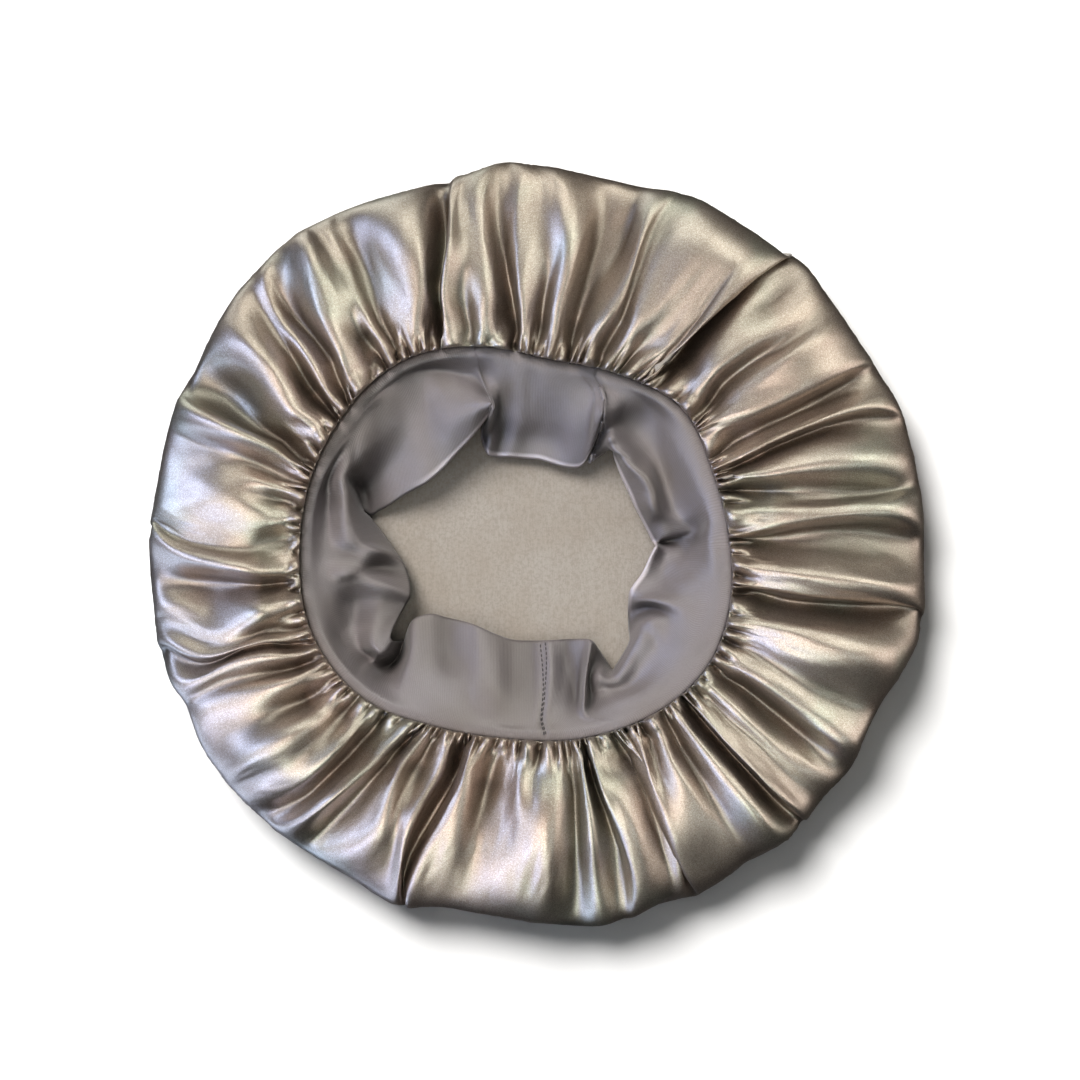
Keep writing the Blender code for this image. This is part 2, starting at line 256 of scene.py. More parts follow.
# The band's hang: the direction at the seam, then the points that the cloth passes on its way down
# to its free edge, each by its place from the middle of the mouth and its height
BandLine = namedtuple("BandLine", "seam upper half_way lower edge")
BAND_LINES = [
    BandLine(0, (81.2, -0.4, 30.6), (71, -1.7, 11.9), (62.9, -1.3, 12.1), (59.1, -0.8, 18.8)),
    BandLine(4, (80.8, 4.7, 30.05), (74, 2.1, 13.7), (62.9, 1.3, 8.5), (58.9, 0, 17.5)),
    BandLine(8, (81.2, 10.6, 30.6), (74.8, 7.2, 15.5), (62.9, 3.8, 15.7), (57.4, 1.7, 11)),
    BandLine(14, (79, 19.1, 30.6), (70.1, 10.6, 17.3), (61.2, 9.8, 19.3), (55.7, 5.1, 12.3)),
    BandLine(20, (76.5, 25.1, 30.6), (66.3, 14.9, 17.3), (59.1, 13.2, 23.8), (53.1, 10.2, 14.2)),
    BandLine(26, (73.1, 33.1, 30.05), (64.2, 20.8, 18.2), (57.8, 17, 26.5), (50.1, 15.7, 16.9)),
    BandLine(33, (68, 42.1, 28.95), (61.6, 28.5, 18.7), (56.9, 22.9, 27.4), (47.2, 22.1, 18.1)),
    BandLine(39, (63.3, 49.7, 27.3), (58.6, 35.7, 19.1), (54, 28.1, 28.3), (44.2, 28.5, 18.1)),
    BandLine(45, (59.1, 54.8, 26.2), (54, 41.6, 19.1), (47.6, 33.6, 27.4), (41.4, 36.1, 16.2)),
    BandLine(51, (54, 59.1, 27.3), (48.4, 48, 20), (42.5, 39.5, 27.4), (39.9, 40.8, 11)),
    BandLine(56, (47.6, 62.5, 30.05), (42.5, 51.4, 23.6), (39.1, 45, 28.3), (36.1, 38.7, 8.4)),
    BandLine(60, (42.5, 63.3, 30.6), (39.1, 53.1, 29.9), (37.4, 48, 24.7), (30.6, 34.9, 7.1)),
    BandLine(63, (39.1, 64.2, 30.6), (37.4, 54, 33.5), (36.1, 48.9, 24.7), (31.4, 36.5, 9.7)),
    BandLine(66, (35.7, 65, 30.6), (35.7, 56.5, 35.3), (35.7, 53.5, 32.8), (35.5, 51, 26.6)),
    BandLine(68.5, (32.7, 65, 30.05), (32.7, 54.8, 31.7), (32.3, 47.6, 26.5), (31.4, 40.4, 18.8)),
    BandLine(71, (29.3, 66.7, 29.5), (29.3, 53.1, 24.5), (27.6, 42.1, 17.5), (25.9, 33.1, 11)),
    BandLine(74, (23.8, 66.7, 28.95), (23.4, 51.4, 21.8), (22.1, 41.2, 14.8), (21.2, 33.1, 9.7)),
    BandLine(78, (17.8, 67.6, 28.95), (17.8, 53.1, 20), (16.6, 43.8, 13), (15.3, 34.6, 9.1)),
    BandLine(82, (11.5, 68.8, 28.95), (11.5, 54, 19.1), (10.6, 44.6, 12.1), (9.3, 36.5, 9.1)),
    BandLine(86, (6, 69.7, 28.4), (6, 54, 19.1), (4.7, 45.5, 12.1), (3.4, 37, 8.4)),
    BandLine(90, (0.8, 69.7, 28.4), (0.8, 55.2, 20), (-1.3, 45.5, 13), (-3.8, 37.6, 9.1)),
    BandLine(93.5, (-3.8, 69.7, 27.3), (-4.2, 56.5, 19.1), (-6.8, 46.3, 12.1), (-8.9, 37.7, 8.4)),
    BandLine(96.5, (-7.2, 69.3, 26.75), (-7.6, 57.4, 20), (-10.6, 45.5, 14.8), (-12.8, 38.7, 11)),
    BandLine(99, (-10.6, 70.1, 26.2), (-8.9, 59.9, 26.3), (-10.6, 51.4, 22.9), (-15.5, 44.6, 9.7)),
    BandLine(101.5, (-13.6, 70.5, 25.1), (-11, 62.5, 29.9), (-9.8, 56.9, 36.4), (-15.3, 49.7, 16.2)),
    BandLine(104.5, (-17.4, 70.1, 24.55), (-13.6, 63.3, 29.9), (-11.5, 59.5, 36.4), (-10.4, 56.9, 31.2)),
    BandLine(109, (-22.9, 71.8, 24.55), (-18.3, 64.2, 29.9), (-15.3, 58.6, 34.6), (-13.6, 52.7, 28.6)),
    BandLine(115, (-29.3, 73.5, 25.1), (-24.6, 65.5, 28.1), (-21.2, 56.9, 31.9), (-19.1, 45.9, 25.3)),
    BandLine(121, (-36.5, 74, 26.2), (-31.9, 65.5, 27.2), (-28.5, 54, 28.3), (-25.1, 39.5, 21.4)),
    BandLine(128, (-44.2, 72.2, 27.85), (-39.9, 62.5, 24.5), (-36.5, 48.9, 22.9), (-32.3, 31.9, 18.8)),
    BandLine(135, (-51, 68, 28.95), (-46.3, 57.8, 24.5), (-42.9, 44.6, 21.1), (-38.2, 26.8, 17.5)),
    BandLine(141, (-56.1, 62.5, 30.05), (-51.9, 51.4, 24.5), (-49.3, 38.2, 17.5), (-47.6, 21.7, 13.6)),
    BandLine(147, (-62, 56.5, 30.05), (-58.6, 45.5, 24.5), (-56.1, 32.3, 13.9), (-54.4, 17.4, 9.7)),
    BandLine(153, (-68, 48.9, 30.05), (-65.5, 38.2, 26.3), (-62.9, 25.5, 8.5), (-59.9, 14.4, 5.8)),
    BandLine(158, (-72.7, 41.2, 29.5), (-70.1, 33.1, 26.3), (-66.7, 23.4, 6.7), (-63.3, 12.8, 4.5)),
    BandLine(162, (-76.5, 35.3, 27.85), (-72.7, 31.4, 29.9), (-69.3, 24.6, 10.3), (-65.5, 14, 4.5)),
    BandLine(166, (-79.5, 28.9, 25.1), (-74.4, 28.5, 30.8), (-71.8, 25.1, 28.3), (-65.5, 14, 5.8)),
    BandLine(171, (-80.3, 20.4, 23.45), (-75.2, 20.4, 28.1), (-72.7, 18.7, 29.2), (-63.3, 12.3, 8.4)),
    BandLine(176, (-80.3, 11, 23.45), (-74.4, 10.6, 28.1), (-71.4, 9.3, 28.3), (-59.1, 7.2, 8.4)),
    BandLine(181, (-80.3, 1.7, 24.55), (-72.2, 2.1, 27.2), (-68, 1.7, 26.5), (-54.4, 0.8, 9.7)),
    BandLine(185, (-80.8, -4.7, 25.65), (-70.5, -3.8, 24.5), (-61.2, -2.5, 24.7), (-50.6, -4.7, 11)),
    BandLine(190, (-80.8, -11.5, 27.3), (-71, -11, 28.1), (-58.6, -9.3, 15.7), (-47.2, -11, 11)),
    BandLine(195, (-79.9, -18.7, 26.75), (-69.7, -15.7, 24.5), (-56.1, -17, 22.9), (-45.5, -20.4, 16.2)),
    BandLine(200, (-78.6, -25.9, 25.1), (-70.5, -24.2, 17.3), (-57.8, -24.2, 19.3), (-47.6, -25.5, 14.9)),
    BandLine(205, (-76.5, -33.6, 22.9), (-69.7, -31.4, 15.5), (-59.5, -31, 21.1), (-50.6, -31, 16.2)),
    BandLine(210, (-74.4, -39.5, 21.25), (-68.8, -38.7, 17.3), (-61.2, -37.8, 24.7), (-53.1, -36.1, 20.1)),
    BandLine(214, (-71.4, -44.6, 20.7), (-66.7, -44.6, 17.3), (-60.4, -42.9, 26.5), (-53.8, -38.7, 22.7)),
    BandLine(217.5, (-67.6, -48.9, 20.7), (-63.3, -47.2, 15.5), (-57.8, -45.5, 26.5), (-53.1, -40.4, 22.1)),
    BandLine(221, (-63.8, -52.3, 21.25), (-59.5, -50.1, 13.7), (-54, -46.3, 15.7), (-51.4, -41.2, 13.6)),
    BandLine(225, (-59.1, -56.9, 21.25), (-55.2, -52.7, 9.2), (-51, -47.6, 6.7), (-48.9, -40.8, 7.1)),
    BandLine(230, (-54, -59.9, 24), (-51, -53.5, 15.5), (-48, -47.2, 13.9), (-48, -38.2, 9.7)),
    BandLine(235, (-48, -62, 27.85), (-46.3, -53.5, 24.5), (-44.6, -44.6, 21.1), (-44.2, -31.4, 16.2)),
    BandLine(241, (-39.1, -64.6, 29.5), (-38.2, -55.2, 24.5), (-37.8, -44.6, 19.3), (-37.4, -29.2, 14.9)),
    BandLine(248, (-28.5, -67.6, 30.05), (-28.9, -57.4, 24.5), (-29.3, -46.8, 15.7), (-29.8, -31, 11)),
    BandLine(254, (-20.8, -70.1, 30.05), (-21.2, -59.9, 26.3), (-21.5, -48.9, 19.3), (-21.5, -32.9, 13.6)),
    BandLine(257, (-16.6, -71.4, 30.05), (-16.6, -60.8, 28.1), (-16.6, -49.7, 22.9), (-17, -34.4, 16.2)),
    BandLine(263, (-9.3, -74, 30.05), (-9.3, -61.6, 28.1), (-9.3, -51, 22.9), (-9.3, -37.8, 14.9)),
    BandLine(269, (-1.7, -76.1, 30.05), (-1.7, -63.8, 24.5), (-1.7, -52.3, 17.5), (-1.7, -40.4, 11)),
    BandLine(275, (6.4, -75.2, 29.5), (6.8, -63.8, 22.7), (6.8, -52.3, 15.7), (6.4, -40.8, 9.7)),
    BandLine(280.5, (12.8, -74.4, 28.95), (14, -62.5, 24.5), (14.4, -50.6, 19.3), (13.6, -40.5, 13.6)),
    BandLine(286, (18.7, -73.5, 28.4), (19.6, -62.5, 20.9), (20.4, -50.6, 13.9), (20.8, -40.2, 11)),
    BandLine(292, (24.6, -72.7, 27.85), (25.1, -63.3, 19.1), (25.9, -52.3, 15.7), (27.2, -39.9, 14.9)),
    BandLine(297, (28.5, -71.8, 29.5), (28.1, -63.3, 29.9), (28.9, -54, 26.5), (31.4, -40.4, 18.8)),
    BandLine(301, (32.3, -70.5, 27.3), (31.4, -63.3, 19.1), (31, -56.1, 19.3), (34.9, -44.6, 11)),
    BandLine(306, (38.2, -68.4, 27.85), (35.3, -62.5, 20.9), (34.4, -55.7, 22.9), (38.2, -49.7, 8.4)),
    BandLine(311, (45, -65, 28.4), (40.4, -61.6, 20.9), (38.2, -57.4, 22.9), (40.4, -53.1, 11)),
    BandLine(316.5, (52.7, -61.6, 28.95), (47.6, -59.1, 20.9), (43.4, -54.8, 22.9), (41.6, -51.4, 14.9)),
    BandLine(323, (61.2, -55.7, 29.5), (54, -51, 22.7), (48.4, -46.8, 22.9), (44.2, -47.2, 16.2)),
    BandLine(329, (67.6, -49.3, 30.05), (59.5, -42.9, 24.5), (52.7, -38.7, 24.7), (47.4, -41.2, 16.2)),
    BandLine(334.5, (72.2, -42.9, 30.6), (63.8, -36.1, 26.3), (56.5, -31.9, 24.7), (47.4, -35.7, 8.4)),
    BandLine(339.5, (75.2, -37, 30.6), (66.3, -30.2, 26.3), (56.1, -26.8, 13.9), (47.2, -29.8, 7.1)),
    BandLine(344.5, (78.6, -29.3, 30.6), (68, -25.9, 28.1), (56.9, -23.4, 22.9), (47.2, -24.2, 11)),
    BandLine(349, (80.8, -22.1, 30.6), (69.7, -21.2, 26.3), (58.2, -19.1, 17.5), (48, -19.1, 14.9)),
    BandLine(353, (82, -14.9, 30.6), (71.4, -15.7, 24.5), (61.2, -13.6, 13.9), (53.1, -11.9, 14.9)),
    BandLine(356.5, (82, -7.6, 30.6), (71.8, -8.5, 19.1), (62.5, -6.4, 12.1), (56.9, -4.7, 17.5)),
]

# How the jersey rolls over at the seam: how far past the seam's line, and how high
BAND_ROLL = [(0.2, 31.0), (0.7, 31.5), (0.5, 32.0), (-0.3, 32.3), (-1.6, 32.3), (-3.6, 32.0)]

# The points that a band line is first drawn with, and the least room between two lines
FINE_POINTS = 400
LEAST_SPAN = 1.5

# Where the band's two ends are joined, and the way from one stitch's start to the next one's, in
# stitch lengths
JOIN_DIRECTION = 278.0
STITCH_STEP = 1.35

# Places on the satin's cut: the crown's last row, the billow's ends, its rim, and where the rows of
# points lie closer and closest
CROWN_EDGE = 132
BILLOW_START, BILLOW_END = BILLOW[0].cut, BILLOW[-1].cut
RIM = 174
CLOSER, CLOSEST = 236, 252

# How high the satin lies on the floor, how far past the seam and the outline it runs, and the
# radius at which the cloth between two folds is measured
LOWEST = 0.45
PAST_LINE = 0.4
HALF_WAY_RADIUS = 130

# A fold that the table gives as DEEP_FOLD stands DEEP_FOLD_HEIGHT high, and any other by this power
# of its share of that; then the shares of the way out at which a fold's heights are given
DEEP_FOLD, DEEP_FOLD_HEIGHT, FOLD_CONTRAST = 9.0, 13.0, 1.25
FOLD_SHARES = [0.0, 0.12, 0.5, 0.9, 1.0]

# How much the folds and the ripples show along the cut, and how often the directions under the rim
# are evened: places on the cut, and a number at each
FOLDS_START = [157, 174], [0, 1]
FOLDS_RISE = [145, 166, 180], [0, 0.5, 1]
BILLOWING = [157, 176, 200, 235, 256], [0, 0.55, 1, 0.8, 0.1]
EVENING_PASSES = [145, 160, 177], [200, 60, 0]

# How crisp the folds are, by share of the way out, and how unevenly high
CRISPNESS = [0, 0.5, 0.9], [0.75, 0.5, 0.1]
UNEVENNESS = 0.30

# How often the billow is softened across its rows
ROW_SOFTENING = 5

# Random waves: how many, the fewest and most turns round the mouth, the most slant across the cut
SEED = 5
RIPPLES = 40, (9, 52), 0.045
SWAYS = 24, (5, 26), 0.09
STRENGTHS = 24, (20, 60), 0.08

# Gathers, least and most: how far out each reaches, its height, and the place of its top
GATHER_RANGES = (0.05, 0.22), (0.5, 1.35), (0.02, 0.05)

# The satin's settling: how long, how many rows are held at the crown, and how many of the rows close
# to the seam are left free
SETTLING_FRAMES = 14
HELD_AT_CROWN, LOOSE_AT_SEAM = 3, 3

# Fine puckers by the seam, round it and across it
PUCKERS = 210, 14

# The Mix node's inputs for colours
MIX_SHARE, MIX_FIRST_COLOUR, MIX_SECOND_COLOUR = 0, 6, 7

# The point that the camera stands over, the bonnet's middle height, and the light all round
CAMERA_OVER = (0.0017, 0.0015)
MIDDLE_HEIGHT = 0.02
SKY_COLOUR = (0.93, 0.95, 1.0, 1.0)

# The lights: direction from +X, height in degrees, distance, size, brightness, colour, and whether
# each lights the cloth and the floor ("lit"), or is only mirrored in what shines ("mirrored")
Lamp = namedtuple("Lamp", "name direction height distance size brightness colour used")
LAMPS = [
    Lamp("key", 125, 53, 4.2, 2.2, 20.5, (1.0, 0.985, 0.965), "lit"),
    Lamp("fill", 0, 88, 2.2, 1.6, 0.5, (0.97, 0.985, 1.0), "lit"),
    Lamp("left_sky", 188, 42, 1.3, 1.1, 1.8, (0.80, 0.88, 1.0), "mirrored"),
    Lamp("left_window", 168, 20, 1.2, 0.6, 5.8, (0.50, 0.65, 1.0), "mirrored"),
    Lamp("low_left_window", 225, 28, 1.2, 0.6, 5.4, (0.52, 0.65, 1.0), "mirrored"),
    Lamp("near_glow", 250, 56, 1.4, 1.3, 1.6, (1.0, 0.93, 0.84), "mirrored"),
    Lamp("near_window", 262, 50, 1.3, 0.5, 3.2, (0.60, 0.96, 0.92), "mirrored"),
    Lamp("right_window", 328, 50, 1.3, 0.45, 2.6, (0.80, 0.97, 0.98), "mirrored"),
    Lamp("far_right_glow", 38, 38, 1.3, 1.0, 2.9, (0.94, 1.0, 0.92), "mirrored"),
    Lamp("far_glow", 95, 30, 1.3, 1.2, 2.2, (0.93, 1.0, 0.93), "mirrored"),
    Lamp("overhead", 235, 78, 1.9, 1.0, 2.9, (1.0, 0.93, 0.85), "mirrored"),
    Lamp("left_floor_glow", 218, -16, 1.3, 1.1, 2.2, (0.56, 0.72, 1.0), "mirrored"),
    Lamp("far_floor_glow", 120, -18, 1.3, 1.0, 1.6, (0.88, 0.98, 0.94), "mirrored"),
    Lamp("right_low_glow", 0, 14, 1.3, 1.0, 2.1, (1.0, 0.96, 0.90), "mirrored"),
]


# ---------------------------------------------------------------------------------------------
# Curves through tables


def smooth(knots, values, where):
    """Values on a smooth curve through rows of a table, held at its ends."""
    knots, values = np.asarray(knots, float), np.asarray(values, float)
    slopes = np.gradient(values, knots, axis=0)
    where = np.clip(where, knots[0], knots[-1])
    first = np.clip(np.searchsorted(knots, where, side="right") - 1, 0, len(knots) - 2)
    step = knots[first + 1] - knots[first]
    t = (where - knots[first]) / step
    if values.ndim > 1:
        t, step = t[:, None], step[:, None]
    return (
        (2 * t**3 - 3 * t**2 + 1) * values[first]
        + (t**3 - 2 * t**2 + t) * step * slopes[first]
        + (3 * t**2 - 2 * t**3) * values[first + 1]
        + (t**3 - t**2) * step * slopes[first + 1]
    )


def smooth_round(directions, values, where):
    """The same on a closed curve, for directions in degrees."""
    directions, values = np.asarray(directions, float), np.asarray(values, float)
    directions = np.concatenate([directions[-3:] - 360, directions, directions[:3] + 360])
    values = np.concatenate([values[-3:], values, values[:3]])
    low = directions[2]
    return smooth(directions, values, (np.asarray(where, float) - low) % 360 + low)


def straight(table, where):
    """A number on straight lines through a short table."""
    return float(np.interp(where, *table))


def evened_out(values, axis):
    """Each value drawn halfway to the mean of its two neighbours on a closed row."""
    return (np.roll(values, 1, axis=axis) + 2 * values + np.roll(values, -1, axis=axis)) / 4


def seam_radius(direction):
    """The seam's distance from the middle of the mouth."""
    return smooth_round(*zip(*SEAM), direction)


def mouth_centre():
    """The middle of the mouth in the frame: where the seam's own middle meets the CAD band's."""
    around = np.radians(np.arange(0, 360, 0.5))
    radius = seam_radius(np.degrees(around))
    x, y = radius * np.cos(around), radius * np.sin(around)
    low, high = (np.array(corner) / MM for corner in BAND_BOX)
    return np.array(
        [
            (low[0] + high[0]) / 2 - (x.min() + x.max()) / 2,
            (low[1] + high[1]) / 2 - (y.min() + y.max()) / 2,
        ]
    )


MOUTH = mouth_centre()


def rim_radius(direction):
    """The outline's distance from the middle of the mouth, found in a few rounds."""
    first_guess, rounds = 164.0, 8
    direction = np.asarray(direction, float)
    x, y = np.cos(np.radians(direction)), np.sin(np.radians(direction))
    radius = np.full(direction.shape, first_guess)
    for _ in range(rounds):
        px, py = MOUTH[0] + radius * x, MOUTH[1] + radius * y
        wanted = smooth_round(*zip(*OUTLINE), np.degrees(np.arctan2(py, px)))
        radius = radius + wanted - np.hypot(px, py)
    return radius


def billow_at(cut):
    """The billow's section at one place on the cut: share of the way out, and height."""
    cuts, shares, heights = zip(*BILLOW)
    cut = max(cut, BILLOW_START)
    return float(smooth(cuts, shares, cut)), float(smooth(cuts, heights, cut))


# ---------------------------------------------------------------------------------------------
# Materials


class Value:
    """A socket of a node, on which numbers and other sockets are added, multiplied and so on."""

    def __init__(self, finish, socket):
        self.finish, self.socket = finish, socket

    def maths(self, operation, *values):
        """One Math node on these values."""
        numbered = dict(enumerate(values))
        return self.finish.node("ShaderNodeMath", {"operation": operation}, numbered)["Value"]

    def __add__(self, other):
        return self.maths("ADD", self, other)

    def __sub__(self, other):
        return self.maths("SUBTRACT", self, other)

    def __rsub__(self, other):
        return self.maths("SUBTRACT", other, self)

    def __mul__(self, other):
        return self.maths("MULTIPLY", self, other)

    __radd__ = __add__
    __rmul__ = __mul__

    def sine(self):
        return self.maths("SINE", self)

    def ramp(self, low, high):
        """0 up to low, 1 from high, and smooth between."""
        settings = {"interpolation_type": "SMOOTHSTEP"}
        values = {"Value": self, "From Min": low, "From Max": high}
        return self.finish.node("ShaderNodeMapRange", settings, values)["Result"]


class Finish:
    """A material, with one call that adds any node to it."""

    def __init__(self, name):
        self.material = bpy.data.materials.new(name)
        self.material.use_nodes = True
        self.tree = self.material.node_tree
        self.tree.nodes.clear()

    def node(self, kind, settings=None, values=None):
        """Adds a node and returns its outputs by name; inputs go by name or number."""
        node = self.tree.nodes.new(kind)
        for name, value in (settings or {}).items():
            setattr(node, name, value)
        for name, value in (values or {}).items():
            if isinstance(value, Value):
                self.tree.links.new(value.socket, node.inputs[name])
            else:
                node.inputs[name].default_value = value
        return {socket.name: Value(self, socket) for socket in node.outputs if socket.enabled}

    def coordinates(self, source, scale=(1, 1, 1), turn=(0, 0, 0)):
        """Object or UV coordinates, scaled and turned."""
        place = self.node("ShaderNodeTexCoord")[source]
        values = {"Vector": place, "Scale": scale, "Rotation": turn}
        return self.node("ShaderNodeMapping", None, values)["Vector"]

    def parts(self, vector):
        """A vector's X, Y and Z."""
        return self.node("ShaderNodeSeparateXYZ", None, {"Vector": vector})

    def crease_shade(self):
        """How deep the surface lies in a crease (0 to 1, from the mesh), for painted shade."""
        return self.node("ShaderNodeAttribute", {"attribute_name": "crease"})["Fac"]

    def noise(self, where, scale, detail=2.0, roughness=0.5):
        """Cloudy noise, about 0.5."""
        values = {"Vector": where, "Scale": scale, "Detail": detail, "Roughness": roughness}
        return self.node("ShaderNodeTexNoise", None, values)["Fac"]

    def mixed(self, share, first, second):
        """Goes from the first colour to the second as share goes from 0 to 1."""
        values = {MIX_SHARE: share, MIX_FIRST_COLOUR: first, MIX_SECOND_COLOUR: second}
        return self.node("ShaderNodeMix", {"data_type": "RGBA"}, values)["Result"]

    def bump(self, height, distance, strength, normal=None):
        """A normal bent by a height, on top of another bump's normal if one is given."""
        values = {"Height": height, "Distance": distance, "Strength": strength}
        if normal is not None:
            values["Normal"] = normal
        return self.node("ShaderNodeBump", None, values)["Normal"]

    def surface(self, **values):
        """Ends the material in one Principled surface, whose inputs are given by name."""
        named = {name.replace("_", " "): value for name, value in values.items()}
        shader = self.node("ShaderNodeBsdfPrincipled", None, named)["BSDF"]
        self.node("ShaderNodeOutputMaterial", None, {"Surface": shader})
        return self.material


def tint(colour, light=1.0):
    """A colour setting made lighter or darker, with its alpha."""
    return tuple(channel * light for channel in colour) + (1.0,)


def satin_face(cloth, colours):
    """The shiny face: long floats that smear the light across the folds, and a fine sparkle."""
    finish = Finish("satin_face")
    place = finish.coordinates("Object")
    threads = finish.coordinates("UV", scale=(cloth.ring_threads, cloth.cut_threads, 1))
    broad = finish.noise(place, scale=14.0, detail=3.0)
    sage = finish.noise(place, scale=24.0, detail=2.0)
    patch = finish.noise(place, scale=55.0, detail=3.0, roughness=0.6)
    grain = finish.noise(place, scale=1500.0, detail=2.0, roughness=0.7)
    sparkle = finish.noise(place, scale=3200.0, detail=1.0, roughness=0.9)
    slub = finish.noise(threads, scale=1.0, detail=2.0, roughness=0.6)
    warm, cool, deep = tint(colours.satin_warm), tint(colours.satin_cool), tint(colours.satin_deep_and_shade)
    colour = finish.mixed(broad.ramp(0.35, 0.68), warm, cool)
    colour = finish.mixed(sage.ramp(0.5, 0.66) * 0.6, colour, tint(colours.satin_sage))
    colour = finish.mixed(patch.ramp(0.3, 0.75) * 0.35, colour, deep)
    colour = finish.mixed(grain.ramp(0.35, 0.68) * 0.45, colour, tint(colours.satin_deep_and_shade, 0.8))
    colour = finish.mixed(sparkle.ramp(0.52, 0.74) * 0.75, colour, tint(colours.satin_fleck))
    # Painted shade: the colour darkens deep in the creases and in the seam's crevice
    colour = finish.mixed(finish.crease_shade() * 0.9, colour, tint(colours.satin_deep_and_shade, 0.22))
    rough = 0.36 + 0.07 * patch + 0.16 * (grain - 0.5) + 0.05 * slub
    normal = finish.bump(grain, distance=0.00014, strength=0.6)
    normal = finish.bump(sparkle, distance=0.00007, strength=0.6, normal=normal)
    normal = finish.bump(slub, distance=0.0002, strength=0.25, normal=normal)
    puckers = finish.noise(finish.coordinates("UV", scale=(*PUCKERS, 1)), scale=1.0)
    near_seam = finish.parts(finish.coordinates("UV"))["Y"].ramp(0.86, 1.0)
    normal = finish.bump(puckers * near_seam, distance=0.0016, strength=0.8, normal=normal)
    return finish.surface(
        Base_Color=colour,
        Roughness=rough,
        Metallic=colours.satin_metal,
        Coat_Weight=0.3,
        Coat_IOR=1.6,
        Coat_Roughness=0.3,
        Normal=normal,
    )


def satin_back(colours):
    """The matte wrong side, seen inside the crown."""
    finish = Finish("satin_back")
    place = finish.coordinates("Object")
    along = finish.coordinates("Object", scale=(1, 0.16, 1), turn=(0, 0, 0.1))
    mottle = finish.noise(place, scale=30.0, detail=4.0, roughness=0.6)
    grain = finish.noise(along, scale=1300.0, detail=3.0, roughness=0.75)
    fleck = finish.noise(place, scale=700.0, detail=2.0, roughness=0.8)
    deep = tint(colours.back_deep)
    colour = finish.mixed(mottle.ramp(0.3, 0.7), tint(colours.back_warm), tint(colours.back_light))
    colour = finish.mixed(fleck.ramp(0.42, 0.66) * 0.45, colour, deep)
    colour = finish.mixed(grain.ramp(0.4, 0.7) * 0.3, colour, deep)
    return finish.surface(
        Base_Color=colour,
        Roughness=0.52 + 0.16 * (grain - 0.5),
        Metallic=0.12,
        Sheen_Weight=0.25,
        Sheen_Roughness=0.5,
        Normal=finish.bump(grain, distance=0.0002, strength=0.45),
    )


def jersey(cloth, colours):
    """Ribbed knit: fine wales that run from the seam down to the free edge."""
    finish = Finish("jersey")
    place = finish.coordinates("Object")
    knit, at = finish.parts(finish.coordinates("UV")), finish.parts(place)
    wobble = finish.noise(place, scale=160.0) * 0.9
    wale = (knit["X"] * (2 * math.pi * cloth.wales) + wobble).sine() * 0.5 + 0.5
    course = (knit["Y"] * (2 * math.pi * cloth.courses) + wobble).sine() * 0.5 + 0.5
    fuzz = finish.noise(place, scale=1900.0, detail=3.0, roughness=0.8)
    broad = finish.noise(place, scale=26.0, detail=3.0)
    warm, cool, deep = tint(colours.jersey_warm), tint(colours.jersey_cool), tint(colours.jersey_deep_and_shade)
    colour = finish.mixed(broad.ramp(0.3, 0.7), warm, cool)
    colour = finish.mixed((1 - wale.ramp(0.1, 0.7)) * 0.30, colour, deep)
    colour = finish.mixed(fuzz.ramp(0.4, 0.7) * 0.22, colour, deep)
    # Painted shade: the colour darkens in the band's creases
    colour = finish.mixed(finish.crease_shade() * 0.6, colour, tint(colours.jersey_deep_and_shade, 0.35))
    # Painted highlight: the free edge is paler on the far side of the mouth
    edge = (1 - knit["Y"].ramp(0.02, 0.06)) * (at["X"] * 0.6 + at["Y"]).ramp(-0.01, 0.01)
    colour = finish.mixed(edge * 0.85, colour, tint(colours.jersey_cool, 2.6))
    normal = finish.bump(wale, distance=0.00010, strength=0.5)
    normal = finish.bump(course, distance=0.00004, strength=0.4, normal=normal)
    normal = finish.bump(fuzz, distance=0.00012, strength=0.4, normal=normal)
    return finish.surface(
        Base_Color=colour,
        Roughness=0.46 + 0.12 * (fuzz - 0.5),
        Metallic=colours.jersey_metal,
        Sheen_Weight=0.2,
        Sheen_Roughness=0.4,
        Specular_IOR_Level=0.6,
        Normal=normal,
    )


def sewing_thread(colours):
    """Twisted thread of the band's join."""
    finish = Finish("sewing_thread")
    twist = finish.noise(finish.coordinates("Object"), scale=2600.0)
    return finish.surface(
        Base_Color=finish.mixed(twist, tint(colours.thread), tint(colours.thread, 0.55)),
        Roughness=0.55 + 0.1 * twist,
        Normal=finish.bump(twist, distance=0.0001, strength=0.6),
    )


def floor_board(colours):
    """The pale matte floor."""
    finish = Finish("floor_board")
    tooth = finish.noise(finish.coordinates("Object"), scale=400.0, detail=3.0)
    return finish.surface(
        Base_Color=finish.mixed(tooth * 0.3, tint(colours.floor), tint(colours.floor, 0.985)),
        Roughness=0.85,
        Normal=finish.bump(tooth, distance=0.0001, strength=0.1),
    )


# ---------------------------------------------------------------------------------------------
# Cloth meshes


def made(name, bm, rounded=False):
    """An object in the scene from a finished bmesh, shaded as rounded or as flat."""
    for face in bm.faces:
        face.smooth = rounded
    mesh = bpy.data.meshes.new(name)
    bm.to_mesh(mesh)
    bm.free()
    piece = bpy.data.objects.new(name, mesh)
    bpy.context.scene.collection.objects.link(piece)
    return piece


def flat_grid(name, squares, size):
    """A flat square board."""
    bm = bmesh.new()
    bmesh.ops.create_grid(bm, x_segments=squares, y_segments=squares, size=size)
    return made(name, bm)


